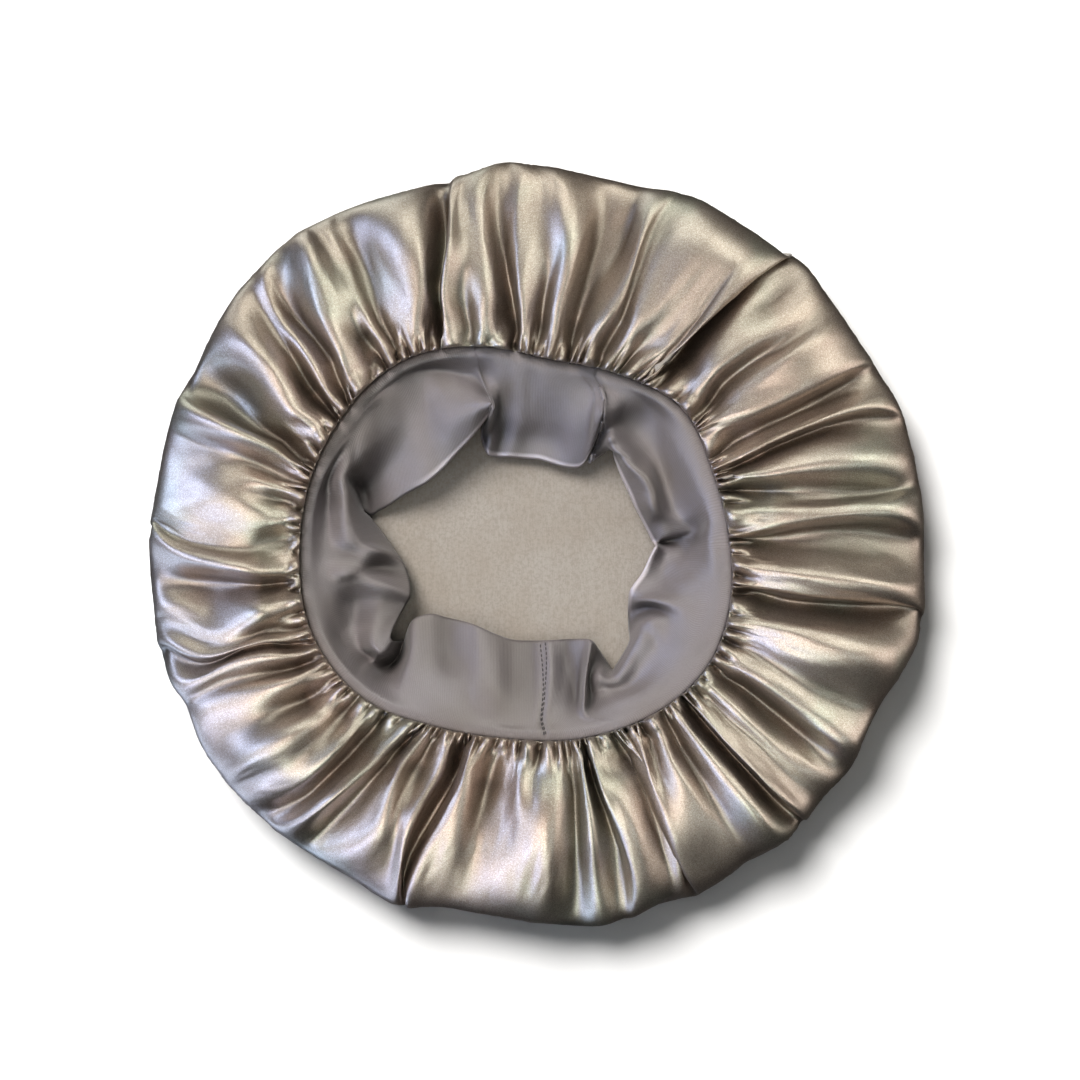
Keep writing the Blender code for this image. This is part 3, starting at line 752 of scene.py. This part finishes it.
def round_sheet(name, places, cut_shares, scale=MM, merged=True, crease_shade=None):
    """A sheet from a flat grid: its columns run once round the mouth and meet, its rows run across.

    places holds a point for each row and column; cut_shares is each row's share of the cut, for
    the cloth's own UV map.
    """
    rows, columns = places.shape[:2]
    bm = bmesh.new()
    uv = bm.loops.layers.uv.new("UVMap")
    # Crease depths are kept on the points, for the materials' painted shade
    crease = bm.verts.layers.float.new("crease") if crease_shade is not None else None
    bmesh.ops.create_grid(bm, x_segments=columns, y_segments=rows - 1, size=0.5, calc_uvs=True)
    for face in bm.faces:
        for loop in face.loops:
            u, v = loop.vert.co.x + 0.5, loop.vert.co.y + 0.5
            loop[uv].uv = (u, cut_shares[round(v * (rows - 1))])
    starts, ends = [], []
    for vert in bm.verts:
        column = round((vert.co.x + 0.5) * columns)
        row = round((vert.co.y + 0.5) * (rows - 1))
        vert.co = Vector(places[row, column % columns]) * scale
        if crease is not None:
            vert[crease] = crease_shade[row, column % columns]
        if column == 0:
            starts.append(vert)
        elif column == columns:
            ends.append(vert)
    bmesh.ops.weld_verts(bm, targetmap=dict(zip(ends, starts)))
    if merged:
        bmesh.ops.remove_doubles(bm, verts=bm.verts, dist=1e-6)
    return made(name, bm, rounded=True)


def crease_depths(places, passes, depth):
    """How deep each point lies between its neighbours round the mouth, from 0 to 1."""
    level = places[:, :, 2]
    for _ in range(passes):
        level = evened_out(level, axis=1)
    return np.clip((level - places[:, :, 2]) / depth, 0, 1)


def give_wall(piece, thickness, back_slot=0):
    """Thickens a sheet inwards; its inner face takes the material back_slot places further on."""
    wall = piece.modifiers.new("wall", "SOLIDIFY")
    wall.thickness, wall.offset = thickness, -1
    wall.material_offset = back_slot
    wall.use_even_offset = False


def columns_by_length(folds, total):
    """Shares columns out between fold lines by the length of cloth between them.

    Returns the fold before each column, and its share of the way to the next fold.
    """
    middle, height = folds[:, 1], folds[:, 4]
    next_middle, next_height = np.append(middle[1:], middle[0] + 360), np.roll(height, -1)
    lengths = np.hypot(np.radians(next_middle - middle) * HALF_WAY_RADIUS, next_height - height)
    counts = np.maximum(3, np.round(lengths / lengths.sum() * total)).astype(int)
    while counts.sum() != total:
        if counts.sum() > total:
            counts[np.argmax(counts)] -= 1
        else:
            counts[np.argmax(lengths / counts)] += 1
    share = np.concatenate([np.arange(count) / count for count in counts])
    return np.repeat(np.arange(len(counts)), counts), share


def gathers(columns, pleat_columns, chance):
    """Irregular pleats along the seam: how far across its pleat each column is, and its pleat's
    reach, height and top."""
    widths = []
    while sum(widths) < columns - pleat_columns:
        widths.append(int(chance.integers(pleat_columns - 2, pleat_columns + 4)))
    widths.append(columns - sum(widths))
    number = len(widths)
    pleat = np.repeat(np.arange(number), widths)
    across = np.concatenate([np.arange(width) / width for width in widths])
    shapes = np.stack([chance.uniform(least, most, number) for least, most in GATHER_RANGES])
    return across, shapes[:, pleat] * (1 - across) + shapes[:, (pleat + 1) % number] * across


def random_waves(chance, number, turns, slant):
    """Waves round the mouth that together make an even ripple: turns, phase, slant, size."""
    return np.stack(
        [
            np.round(chance.uniform(*turns, number)),
            chance.uniform(0, 2 * math.pi, number),
            chance.uniform(-slant, slant, number),
            chance.uniform(0.4, 1.0, number) / math.sqrt(number / 4),
        ]
    )


def rippled(waves, direction, cut):
    """How high the waves stand together at these directions and this place on the cut."""
    turns, phase, slant, size = waves[:, :, None]
    return (size * np.cos(turns * np.radians(direction) + phase + slant * cut)).sum(axis=0)


def in_step(direction, passes):
    """The same directions, in step all the way round, without the folds' overlaps."""
    for _ in range(passes):
        before = np.append(direction[-1] - 360, direction[:-1])
        after = np.append(direction[1:], direction[0] + 360)
        direction = (before + 2 * direction + after) / 4
    return direction


def lifted(x, y):
    """How far the puffs lift the cloth, and the dents sink it, at these points."""
    puffs = np.array(PUFFS, float).T[:, :, None]
    turn = np.radians(puffs[4])
    x, y = x - puffs[0], y - puffs[1]
    along, across = x * np.cos(turn) + y * np.sin(turn), y * np.cos(turn) - x * np.sin(turn)
    return (puffs[5] * np.exp(-((along / puffs[2]) ** 2) - (across / puffs[3]) ** 2)).sum(axis=0)


def fold_directions(folds, share):
    """Each fold's direction at one share of the way out, on a curve through its three places."""
    seam, middle, rim = folds[:, 0], folds[:, 1], folds[:, 2]
    return (
        seam * (1 - share) * (1 - 2 * share)
        + middle * 4 * share * (1 - share)
        + rim * share * (2 * share - 1)
    )


def fold_heights(folds, share):
    """How far each ridge or crease stands above the billow, at one share of the way out."""
    table = folds[:, 3:6]
    heights = np.sign(table) * (np.abs(table) / DEEP_FOLD) ** FOLD_CONTRAST * DEEP_FOLD_HEIGHT
    # Folds start low at the seam, swell towards the rim and ease where the cloth turns under
    rows = [[0.45 * a, a, b, 1.5 * c, 0.8 * c] for a, b, c in heights]
    return np.array([smooth(FOLD_SHARES, row, share) for row in rows])


def between_folds(start, end, across, crisp):
    """Heights from one fold line to the next: a soft swell and a sharper ridge, mixed."""
    soft = across * across * (3 - 2 * across)
    sharp = np.where(end > start, np.sin(across * np.pi / 2), 1 - np.cos(across * np.pi / 2))
    return start + (end - start) * (soft * (1 - crisp) + sharp * crisp)


def satin_rows(cloth):
    """Where the satin's rows lie on its cut: a few on the crown, then closer towards the seam."""
    wide = cloth.satin_rows * 3 // 5
    return np.concatenate(
        [
            np.linspace(0, CROWN_EDGE, cloth.floor_rows),
            np.linspace(BILLOW_START, CLOSER, wide, endpoint=False),
            np.linspace(CLOSER, CLOSEST, cloth.satin_rows - wide - cloth.seam_rows, endpoint=False),
            np.linspace(CLOSEST, BILLOW_END, cloth.seam_rows),
        ]
    )


def satin_row(cloth, cut, folds, spread, waves):
    """One row of the satin's points, before its gathers."""
    (between, across), (ripples, sways, strengths) = spread, waves
    share, height = billow_at(cut)
    fold_share = 1.0 if cut < RIM else share
    directions = fold_directions(folds, fold_share)
    directions = np.append(directions, directions[0] + 360)
    heights = fold_heights(folds, fold_share) * straight(FOLDS_START, cut)
    heights = np.append(heights, heights[0])
    crisp = straight(CRISPNESS, fold_share)
    fold = between_folds(heights[between], heights[between + 1], across, crisp)
    direction = directions[between] + across * (directions[between + 1] - directions[between])
    direction = in_step(direction, int(straight(EVENING_PASSES, cut)))
    billow = straight(BILLOWING, cut)
    fold = fold * (1 + UNEVENNESS * billow * rippled(strengths, direction, cut))
    sway = cloth.sway * billow * rippled(sways, direction, cut)
    inner, outer = seam_radius(direction) + PAST_LINE, rim_radius(direction) + PAST_LINE
    radius = inner + share * (outer - inner)
    on_floor = cut < BILLOW_START
    if on_floor:
        radius = radius * cut / BILLOW_START
    rise = height + fold * straight(FOLDS_RISE, cut)
    rise = rise + billow * cloth.ripple_height / MM * rippled(ripples, direction, cut)
    x = MOUTH[0] + radius * np.cos(np.radians(direction + sway))
    y = MOUTH[1] + radius * np.sin(np.radians(direction + sway))
    rise = rise + billow * cloth.puff * lifted(x, y)
    if on_floor:
        # Shallow slanting waves cross the crown and flatten out under the billow
        wave = 0.5 + 0.5 * np.sin((x * 0.8 + y * 0.6) / 21.0 + 0.8)
        rise = LOWEST + 1.3 * wave * np.clip((150 - radius) / 60, 0, 1)
    return np.stack([x, y, np.maximum(rise, LOWEST)], axis=1)


def gather_loops(cloth, cut, pleats):
    """How far the seam's gathers stand above or below one row of the satin."""
    across, (reach, height, top) = pleats
    share = billow_at(cut)[0]
    fading = np.clip(1 - share / reach, 0, 1) if cut >= RIM else 0.0
    # Each loop is tucked under at the seam, tallest just outside it, and has a rounded back
    head = 1 - 0.8 * math.exp(-share / 0.008) + 0.5 * np.exp(-(((share - top) / 0.028) ** 2))
    loop = np.abs(np.sin(np.pi * across)) ** 0.85 - 0.55
    return loop * cloth.gather_height / MM * height * fading * head


def satin_places(cloth):
    """The satin's points: floor, rim and billow, with its folds and gathers, row by row."""
    chance = np.random.default_rng(SEED)
    folds = np.array(FOLDS, float)
    spread = columns_by_length(folds, cloth.satin_columns)
    pleats = gathers(cloth.satin_columns, cloth.gather_columns, chance)
    waves = [random_waves(chance, *kind) for kind in (RIPPLES, SWAYS, STRENGTHS)]
    cuts = satin_rows(cloth)
    places = np.array([satin_row(cloth, cut, folds, spread, waves) for cut in cuts])
    loops = np.array([gather_loops(cloth, cut, pleats) for cut in cuts])

    # The billow is softened across its rows, and round the mouth the more the nearer the rim
    count = cloth.floor_rows
    above_floor = slice(count + 1, -cloth.seam_rows)
    for _ in range(ROW_SOFTENING):
        places[above_floor] = evened_out(places, axis=0)[above_floor]
    shares = [billow_at(cut)[0] for cut in cuts[count:]]
    for turn in range(cloth.softening):
        soft = [count + row for row, share in enumerate(shares) if share * cloth.softening > turn]
        soft = slice(min(soft), max(soft) + 1)
        places[soft] = evened_out(places[soft], axis=1)

    # Near the seam the loops lean in over the band
    out = places[count:, :, :2] - MOUTH
    lean = np.array([cloth.lean * math.exp(-s / 0.03) * (1 - math.exp(-s / 0.004)) for s in shares])
    lean = loops[count:] * lean[:, None] / np.linalg.norm(out, axis=2)
    places[count:, :, :2] -= out * lean[..., None]
    places[:, :, 2] += loops
    return places, cuts / BILLOW_END


def settled(name, places, held_rows, spare, stiffness):
    """The same points after a short cloth simulation, made at ten times the size.

    held_rows says how many of the first rows and of the last rows are pinned. spare is how much more
    cloth there is than the points show, so that it finds its own small folds.
    """
    size = 10.0
    scene = bpy.context.scene
    cloth = round_sheet(name, places, [0.0] * len(places), scale=MM * size, merged=False)
    ground = flat_grid("ground", squares=1, size=0.4 * size)
    ground.modifiers.new("ground", "COLLISION")
    ground.collision.thickness_outer = 0.0003 * size

    rows, columns = places.shape[:2]
    pinned = cloth.vertex_groups.new(name="held")
    first, last = held_rows
    pinned.add([*range(first * columns), *range((rows - last) * columns, rows * columns)], 1.0, "ADD")
    fall = cloth.modifiers.new("fall", "CLOTH")
    how = fall.settings
    how.quality, how.mass, how.air_damping = 5, 0.1, 1.0
    how.tension_stiffness = how.compression_stiffness = 60
    how.shear_stiffness, how.bending_stiffness = 20, stiffness
    how.tension_damping = how.compression_damping = how.shear_damping = 5
    how.bending_damping = 0.5
    how.vertex_group_mass, how.pin_stiffness = "held", 1
    how.shrink_min = how.shrink_max = -spare
    how.effector_weights.gravity = 0.0
    fall.collision_settings.distance_min = 0.0005 * size
    fall.collision_settings.use_self_collision = False
    fall.point_cache.frame_start, fall.point_cache.frame_end = 1, SETTLING_FRAMES
    for number in range(1, SETTLING_FRAMES + 1):
        scene.frame_set(number)
    shaped = cloth.evaluated_get(bpy.context.evaluated_depsgraph_get()).to_mesh()
    points = np.empty(len(shaped.vertices) * 3, np.float32)
    shaped.vertices.foreach_get("co", points)
    for piece in (cloth, ground):
        mesh = piece.data
        bpy.data.objects.remove(piece, do_unlink=True)
        bpy.data.meshes.remove(mesh)
    scene.frame_set(1)
    return points.reshape(rows, columns, 3).astype(float) / (MM * size)


def to_outline(places, from_row):
    """Draws the billow in or out so that its rim follows the outline again."""
    # How near a rim point counts, in degrees, and the most that the billow is stretched
    near, most = 1.6, 1.1
    x, y = places[:, :, 0] - MOUTH[0], places[:, :, 1] - MOUTH[1]
    radius, direction = np.hypot(x, y), np.degrees(np.arctan2(y, x)) % 360
    rim = radius[from_row:].argmax(axis=0) + from_row
    column = np.arange(places.shape[1])
    rim_direction, rim_reach = direction[rim, column], radius[rim, column]
    seam = seam_radius(rim_direction)
    ratio = (rim_radius(rim_direction) - seam) / (rim_reach - seam)
    around = np.arange(0, 360, 1.0)
    off = np.abs((rim_direction - around[:, None] + 180) % 360 - 180)
    ratio = evened_out(np.array([ratio[row < near].min(initial=most) for row in off]), axis=0)
    scale = np.interp(direction, np.append(around, 360), np.append(ratio, ratio[0]))
    seam = seam_radius(direction.ravel()).reshape(direction.shape)
    drawn = np.where(radius > seam, seam + (radius - seam) * scale, radius) / np.maximum(radius, 1e-6)
    drawn[:from_row] = 1
    places[:, :, 0], places[:, :, 1] = MOUTH[0] + x * drawn, MOUTH[1] + y * drawn
    return places


def shading_depths(places, shares):
    """The satin's crease depths for painted shade: broad valleys, tight ones by the seam, and the seam's
    crevice.
    """
    to_seam = 1 - shares
    tight = crease_depths(places, passes=24, depth=1.6)
    broad = crease_depths(places, passes=160, depth=6.0)
    depths = 0.5 * np.maximum(tight, broad)
    near_seam = np.exp(-((to_seam / 0.022) ** 2))[:, None]
    depths = np.maximum(depths, crease_depths(places, passes=10, depth=0.16) * near_seam)
    return np.maximum(depths, np.exp(-to_seam / 0.003)[:, None])


def band_line(line, rows):
    """One line of the band, from the seam to its free edge, in evenly spaced points."""
    turn = math.radians(line.seam)
    radius = float(seam_radius([line.seam])[0])
    out = np.array([math.cos(turn), math.sin(turn)])
    points = [(*(out * (radius + step)), height) for step, height in BAND_ROLL]
    points = np.array(points + [line.upper, line.half_way, line.lower, line.edge], float)
    steps = np.linalg.norm(np.diff(points, axis=0), axis=1)
    along = np.concatenate([[0], np.cumsum(np.sqrt(steps))])
    fine = smooth(along, points, np.linspace(0, along[-1], FINE_POINTS))
    lengths = np.concatenate([[0], np.cumsum(np.linalg.norm(np.diff(fine, axis=0), axis=1))])
    spaced = np.linspace(0, lengths[-1], rows)
    return np.stack([np.interp(spaced, lengths, fine[:, axis]) for axis in range(3)], axis=1)


def band_places(cloth):
    """The band's points: rolled at the seam, then down through the points of its table."""
    columns, rows = cloth.band_columns, cloth.band_rows
    lines = np.array([band_line(line, rows) for line in BAND_LINES])
    # The columns are shared out by how far apart the lines lie, at the free edge and half way down
    spans = np.linalg.norm(np.roll(lines, -1, axis=0) - lines, axis=2)
    spans = 0.5 * spans[:, -1] + 0.5 * spans[:, rows // 2]
    knots = np.concatenate([[0], np.cumsum(np.maximum(spans, LEAST_SPAN))])
    around = np.linspace(0, knots[-1], columns, endpoint=False)
    wrapped = np.concatenate([lines[-3:], lines, lines[:4]])
    wrapped_knots = np.concatenate([knots[-4:-1] - knots[-1], knots, knots[1:4] + knots[-1]])
    places = smooth(wrapped_knots, wrapped.reshape(len(wrapped), -1), around).reshape(columns, rows, 3)
    places[:, :, :2] += MOUTH
    places = places.transpose(1, 0, 2)[::-1, ::-1]
    # The free edge rolls under over its last twentieth
    down = np.linspace(0, 1, rows)[::-1]
    places[:, :, 2] -= cloth.edge_roll / MM * np.clip((down - 0.95) / 0.05, 0, 1)[:, None] ** 2
    # The join is a narrow groove between two low ridges
    off = np.arange(columns) - join_column(places)
    off = (off + columns // 2) % columns - columns // 2
    depth = 0.55 * np.exp(-((off / 1.1) ** 2)) - 0.35 * np.exp(-(((np.abs(off) - 3.2) / 1.4) ** 2))
    places[:, :, 2] -= depth * np.clip((np.arange(rows)[::-1] - 2) / 4, 0, 1)[:, None]
    return places, np.arange(rows) / (rows - 1)


def join_column(places):
    """The column of the band on which its two ends are joined."""
    x, y = places[-1, :, 0] - MOUTH[0], places[-1, :, 1] - MOUTH[1]
    off = (np.degrees(np.arctan2(y, x)) - JOIN_DIRECTION + 180) % 360 - 180
    return int(np.abs(off).argmin())


def beside(places, rows, columns):
    """Points of the given rows, each at its own place between two columns, in metres."""
    whole = np.floor(columns).astype(int)
    share = (columns - whole)[:, None]
    before = places[rows, whole % places.shape[1]]
    after = places[rows, (whole + 1) % places.shape[1]]
    return [Vector(point) * MM for point in before + share * (after - before)]


def point_along(line, reach, place):
    """The point at one distance along a line, and the number of the line's part that it is on."""
    part = int(np.searchsorted(reach, place, side="right")) - 1
    share = (place - reach[part]) / (reach[part + 1] - reach[part])
    return line[part].lerp(line[part + 1], share), part


def stitch(bm, start, end, up, radius):
    """One sewn stitch: a short thread, rounded at its ends and half sunk in the cloth."""
    along = (end - start) / 2
    side = along.cross(up).normalized() * radius
    lift = side.cross(along).normalized() * radius
    placed = Matrix((lift, side, along)).transposed().to_4x4()
    placed.translation = (start + end) / 2 + lift * 0.6
    bmesh.ops.create_uvsphere(bm, u_segments=8, v_segments=8, radius=1.0, matrix=placed)


# ---------------------------------------------------------------------------------------------
# Settings


def colour_setting(name, description, default):
    return FloatVectorProperty(
        name=name, description=description, subtype="COLOR", size=3, min=0, max=1, default=default
    )


def length_setting(name, description, default):
    return FloatProperty(name=name, description=description, default=default, unit="LENGTH")


def share_setting(name, description, default, most=1.0):
    return FloatProperty(
        name=name, description=description, default=default, min=0, max=most, subtype="FACTOR"
    )


def number_setting(name, description, default):
    return FloatProperty(name=name, description=description, default=default, min=0)


def count_setting(name, description, default, least=1):
    return IntProperty(name=name, description=description, default=default, min=least)


class BonnetCloth(bpy.types.PropertyGroup):
    """Sizes of the cut, its gathers and its threads."""

    satin_wall: length_setting("Satin wall", "Thickness of the satin", 0.0005)
    band_wall: length_setting("Band wall", "Thickness of the jersey", 0.0011)
    gather_height: length_setting("Gather height", "Height of the loops at the seam", 0.0078)
    lean: number_setting("Lean", "How far gathers lean over the seam, by height", 0.45)
    ripple_height: length_setting("Ripple height", "Height of the soft ripples", 0.0006)
    spare: share_setting("Spare cloth", "Extra satin, as a share", 0.04)
    stiffness: number_setting("Stiffness", "How hard the satin is to bend", 60.0)
    softening: count_setting("Softening", "How much the folds blur towards the rim", 12)
    puff: share_setting("Puffs", "How far puffs and dents stand, as a share", 2.2, most=3.0)
    sway: number_setting("Sway", "How far folds wander, in degrees", 1.0)
    gather_columns: count_setting("Gather width", "Mesh columns in one gather", 7, least=4)
    satin_columns: count_setting("Satin columns", "Mesh columns round the ring", 840)
    floor_rows: count_setting("Floor rows", "Mesh rows across the crown", 5, least=3)
    satin_rows: count_setting("Satin rows", "Mesh rows from crown to seam", 51)
    seam_rows: count_setting("Seam rows", "Those of them close to the seam", 12)
    band_columns: count_setting("Band columns", "Mesh columns round the band", 560)
    band_rows: count_setting("Band rows", "Mesh rows across the band", 46)
    ring_threads: count_setting("Ring threads", "Slubs round the satin", 900)
    cut_threads: count_setting("Cut threads", "Slubs across the satin", 26)
    edge_roll: length_setting("Edge roll", "How far the free edge rolls under", 0.0003)
    join_columns: number_setting("Row spacing", "Mesh columns from join to edge stitches", 1.25)
    stitch: length_setting("Stitch", "Length of one stitch", 0.0017)
    stitch_radius: length_setting("Thread radius", "Half the thickness of the thread", 0.00025)
    wales: count_setting("Wales", "Ribs of the knit round the band", 760)
    courses: count_setting("Courses", "Rows of the knit across the band", 90)


class BonnetColours(bpy.types.PropertyGroup):
    """Colours and finishes of the cloth."""

    satin_warm: colour_setting("Satin, warm", "Taupe of the shiny face", (0.465, 0.366, 0.314))
    satin_cool: colour_setting("Satin, cool", "Greener taupe of the shiny face", (0.44, 0.375, 0.332))
    satin_sage: colour_setting("Satin, sage", "Green cast of the shiny face", (0.40, 0.41, 0.345))
    # Darker threads, and at 0.22 of this colour the painted shade in the satin's creases and at the seam
    satin_deep_and_shade: colour_setting("Satin, deep", "Darker threads of the shiny face", (0.25, 0.185, 0.14))
    satin_fleck: colour_setting("Satin, fleck", "Bright threads of the shiny face", (0.78, 0.70, 0.62))
    satin_metal: share_setting("Satin gloss", "How much the satin shines in its own colour", 0.92)
    back_light: colour_setting("Back, light", "Light patches of the wrong side", (0.325, 0.297, 0.268))
    back_warm: colour_setting("Back, warm", "Warm patches of the wrong side", (0.30, 0.265, 0.230))
    back_deep: colour_setting("Back, deep", "Flecks of the wrong side", (0.22, 0.188, 0.160))
    jersey_cool: colour_setting("Jersey, cool", "Mauve grey of the band", (0.215, 0.194, 0.202))
    jersey_warm: colour_setting("Jersey, warm", "Warmer grey of the band", (0.190, 0.167, 0.160))
    # Between the ribs, and at 0.35 of this colour the painted shade in the band's creases
    jersey_deep_and_shade: colour_setting("Jersey, deep", "Between the ribs of the band", (0.13, 0.108, 0.10))
    jersey_metal: share_setting("Jersey gloss", "How much the jersey shines in its own colour", 0.25)
    thread: colour_setting("Thread", "Stitches of the band's join", (0.07, 0.062, 0.062))
    floor: colour_setting("Floor", "Pale floor", (0.94, 0.94, 0.94))


class BonnetStage(bpy.types.PropertyGroup):
    """Camera and lights."""

    camera_height: length_setting("Camera height", "Above the floor", 1.5)
    field: length_setting("Field", "Width seen at the middle of the bonnet's height", 0.459)
    key: number_setting("Soft light", "Share of the lights on cloth and floor", 1.0)
    shine: number_setting("Shine", "Share of the lights mirrored in the satin", 1.0)
    sky: number_setting("Sky", "Strength of the light all round", 0.03)


# ---------------------------------------------------------------------------------------------
# Operators


class BONNET_OT_satin(bpy.types.Operator):
    """Gathers the satin bag and lays it out"""

    bl_idname = "bonnet.satin"
    bl_label = "Satin bag"

    def execute(self, context):
        cloth, colours = context.scene.bonnet_cloth, context.scene.bonnet_colours
        places, shares = satin_places(cloth)
        start, held = cloth.floor_rows - 1, (HELD_AT_CROWN, cloth.seam_rows - LOOSE_AT_SEAM)
        ring = settled("satin", places[start:], held, cloth.spare, cloth.stiffness)
        places[start:] = to_outline(ring, HELD_AT_CROWN)
        # The satin's crease depths set where shade is painted on it
        depths = shading_depths(places, shares)
        # The crown lies flat and gets no painted crease shade
        depths[: cloth.floor_rows + 2] = 0
        bag = round_sheet("satin_bag_cloth", places, shares, crease_shade=depths)
        bag.data.materials.append(satin_face(cloth, colours))
        bag.data.materials.append(satin_back(colours))
        give_wall(bag, cloth.satin_wall, back_slot=1)
        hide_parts("satin_bag")
        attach(bag, "root")
        return {"FINISHED"}


class BONNET_OT_band(bpy.types.Operator):
    """Turns the jersey band down into the bag"""

    bl_idname = "bonnet.band"
    bl_label = "Jersey band"

    def execute(self, context):
        cloth, colours = context.scene.bonnet_cloth, context.scene.bonnet_colours
        places, shares = band_places(cloth)
        # The band's crease depths set where shade is painted on it
        depths = crease_depths(places, passes=60, depth=2.0)
        band = round_sheet("jersey_band_cloth", places, shares, crease_shade=depths)
        band.data.materials.append(jersey(cloth, colours))
        give_wall(band, cloth.band_wall)
        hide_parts("stretch_band")
        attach(band, "root")
        return {"FINISHED"}


class BONNET_OT_stitches(bpy.types.Operator):
    """Sews the band's join with two rows of stitches"""

    bl_idname = "bonnet.stitches"
    bl_label = "Join stitches"

    def execute(self, context):
        cloth, colours = context.scene.bonnet_cloth, context.scene.bonnet_colours
        places, _ = band_places(cloth)
        column, bm = join_column(places), bmesh.new()
        rows = np.arange(1, cloth.band_rows - 2)
        # The two rows draw together towards the seam
        apart = np.interp(rows / cloth.band_rows, [0.1, 0.45], [cloth.join_columns, 0.45])
        for side in (-1, 1):
            line = beside(places, rows, column + side * apart)
            outer = beside(places, rows, column + side * (apart + 2))
            reach = np.cumsum([0.0] + [(b - a).length for a, b in zip(line, line[1:])])
            first = 0.0 if side < 0 else cloth.stitch * 0.5
            for place in np.arange(first, reach[-1] - cloth.stitch, cloth.stitch * STITCH_STEP):
                start, part = point_along(line, reach, place)
                end, _ = point_along(line, reach, place + cloth.stitch)
                up = (end - start).cross(outer[part] - line[part])
                stitch(bm, start, end, up if up.z > 0 else -up, cloth.stitch_radius)
        bmesh.ops.recalc_face_normals(bm, faces=bm.faces)
        row = made("join_stitches", bm, rounded=True)
        row.data.materials.append(sewing_thread(colours))
        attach(row, "root")
        return {"FINISHED"}


class BONNET_OT_stage(bpy.types.Operator):
    """Lays the floor and sets the lights and the camera straight above"""

    bl_idname = "bonnet.stage"
    bl_label = "Floor, lights and camera"

    def execute(self, context):
        stage, colours = context.scene.bonnet_stage, context.scene.bonnet_colours
        board = flat_grid("floor", squares=2, size=4.0)
        board.data.materials.append(floor_board(colours))
        board.visible_glossy = False

        world = bpy.data.worlds.new("studio")
        world.use_nodes = True
        background = world.node_tree.nodes["Background"]
        background.inputs["Color"].default_value = SKY_COLOUR
        background.inputs["Strength"].default_value = stage.sky
        context.scene.world = world
        for name, direction, height, distance, size, brightness, colour, used in LAMPS:
            data = bpy.data.lights.new(name, "AREA")
            data.shape, data.size, data.color = "DISK", size, colour
            brightness *= stage.key if used == "lit" else stage.shine
            # The power that gives a disk of this size its brightness
            data.energy = brightness * math.pi**2 * size**2 / 4
            lamp = bpy.data.objects.new(name, data)
            context.scene.collection.objects.link(lamp)
            turned = Matrix.Rotation(math.radians(direction), 4, "Z")
            raised = Matrix.Rotation(math.radians(-height), 4, "Y")
            lamp.location = turned @ raised @ Vector((distance, 0, 0))
            lamp.rotation_euler = (-lamp.location).to_track_quat("-Z", "Y").to_euler()
            lamp.visible_diffuse, lamp.visible_glossy = used == "lit", used == "mirrored"

        data = bpy.data.cameras.new("camera")
        camera = bpy.data.objects.new("camera", data)
        context.scene.collection.objects.link(camera)
        camera.location = (*CAMERA_OVER, stage.camera_height)
        data.sensor_width = 36.0
        data.lens = data.sensor_width * (stage.camera_height - MIDDLE_HEIGHT) / stage.field
        data.clip_end = 20.0
        context.scene.camera = camera
        context.scene.view_settings.view_transform = "Standard"
        context.scene.view_settings.look = "Medium High Contrast"
        return {"FINISHED"}


class BONNET_PT_panel(bpy.types.Panel):
    """Lists the bonnet's steps and sizes"""

    bl_label = "Satin bonnet"
    bl_space_type = "VIEW_3D"
    bl_region_type = "UI"
    bl_category = "Bonnet"

    def draw(self, context):
        for step in STEPS:
            self.layout.operator(step.bl_idname)
        for name, kind in GROUPS.items():
            for setting in kind.__annotations__:
                self.layout.prop(getattr(context.scene, name), setting)


GROUPS = {"bonnet_cloth": BonnetCloth, "bonnet_colours": BonnetColours, "bonnet_stage": BonnetStage}
STEPS = (BONNET_OT_satin, BONNET_OT_band, BONNET_OT_stitches, BONNET_OT_stage)


def register():
    for name, group in GROUPS.items():
        bpy.utils.register_class(group)
        setattr(bpy.types.Scene, name, PointerProperty(type=group))
    for kind in (*STEPS, BONNET_PT_panel):
        bpy.utils.register_class(kind)


def unregister():
    for kind in (BONNET_PT_panel, *reversed(STEPS)):
        bpy.utils.unregister_class(kind)
    for name, group in reversed(GROUPS.items()):
        delattr(bpy.types.Scene, name)
        bpy.utils.unregister_class(group)


def main():
    """Builds the bonnet and its stage."""
    register()
    bpy.ops.bonnet.satin()
    bpy.ops.bonnet.band()
    bpy.ops.bonnet.stitches()
    bpy.ops.bonnet.stage()


if __name__ == "__main__":
    main()
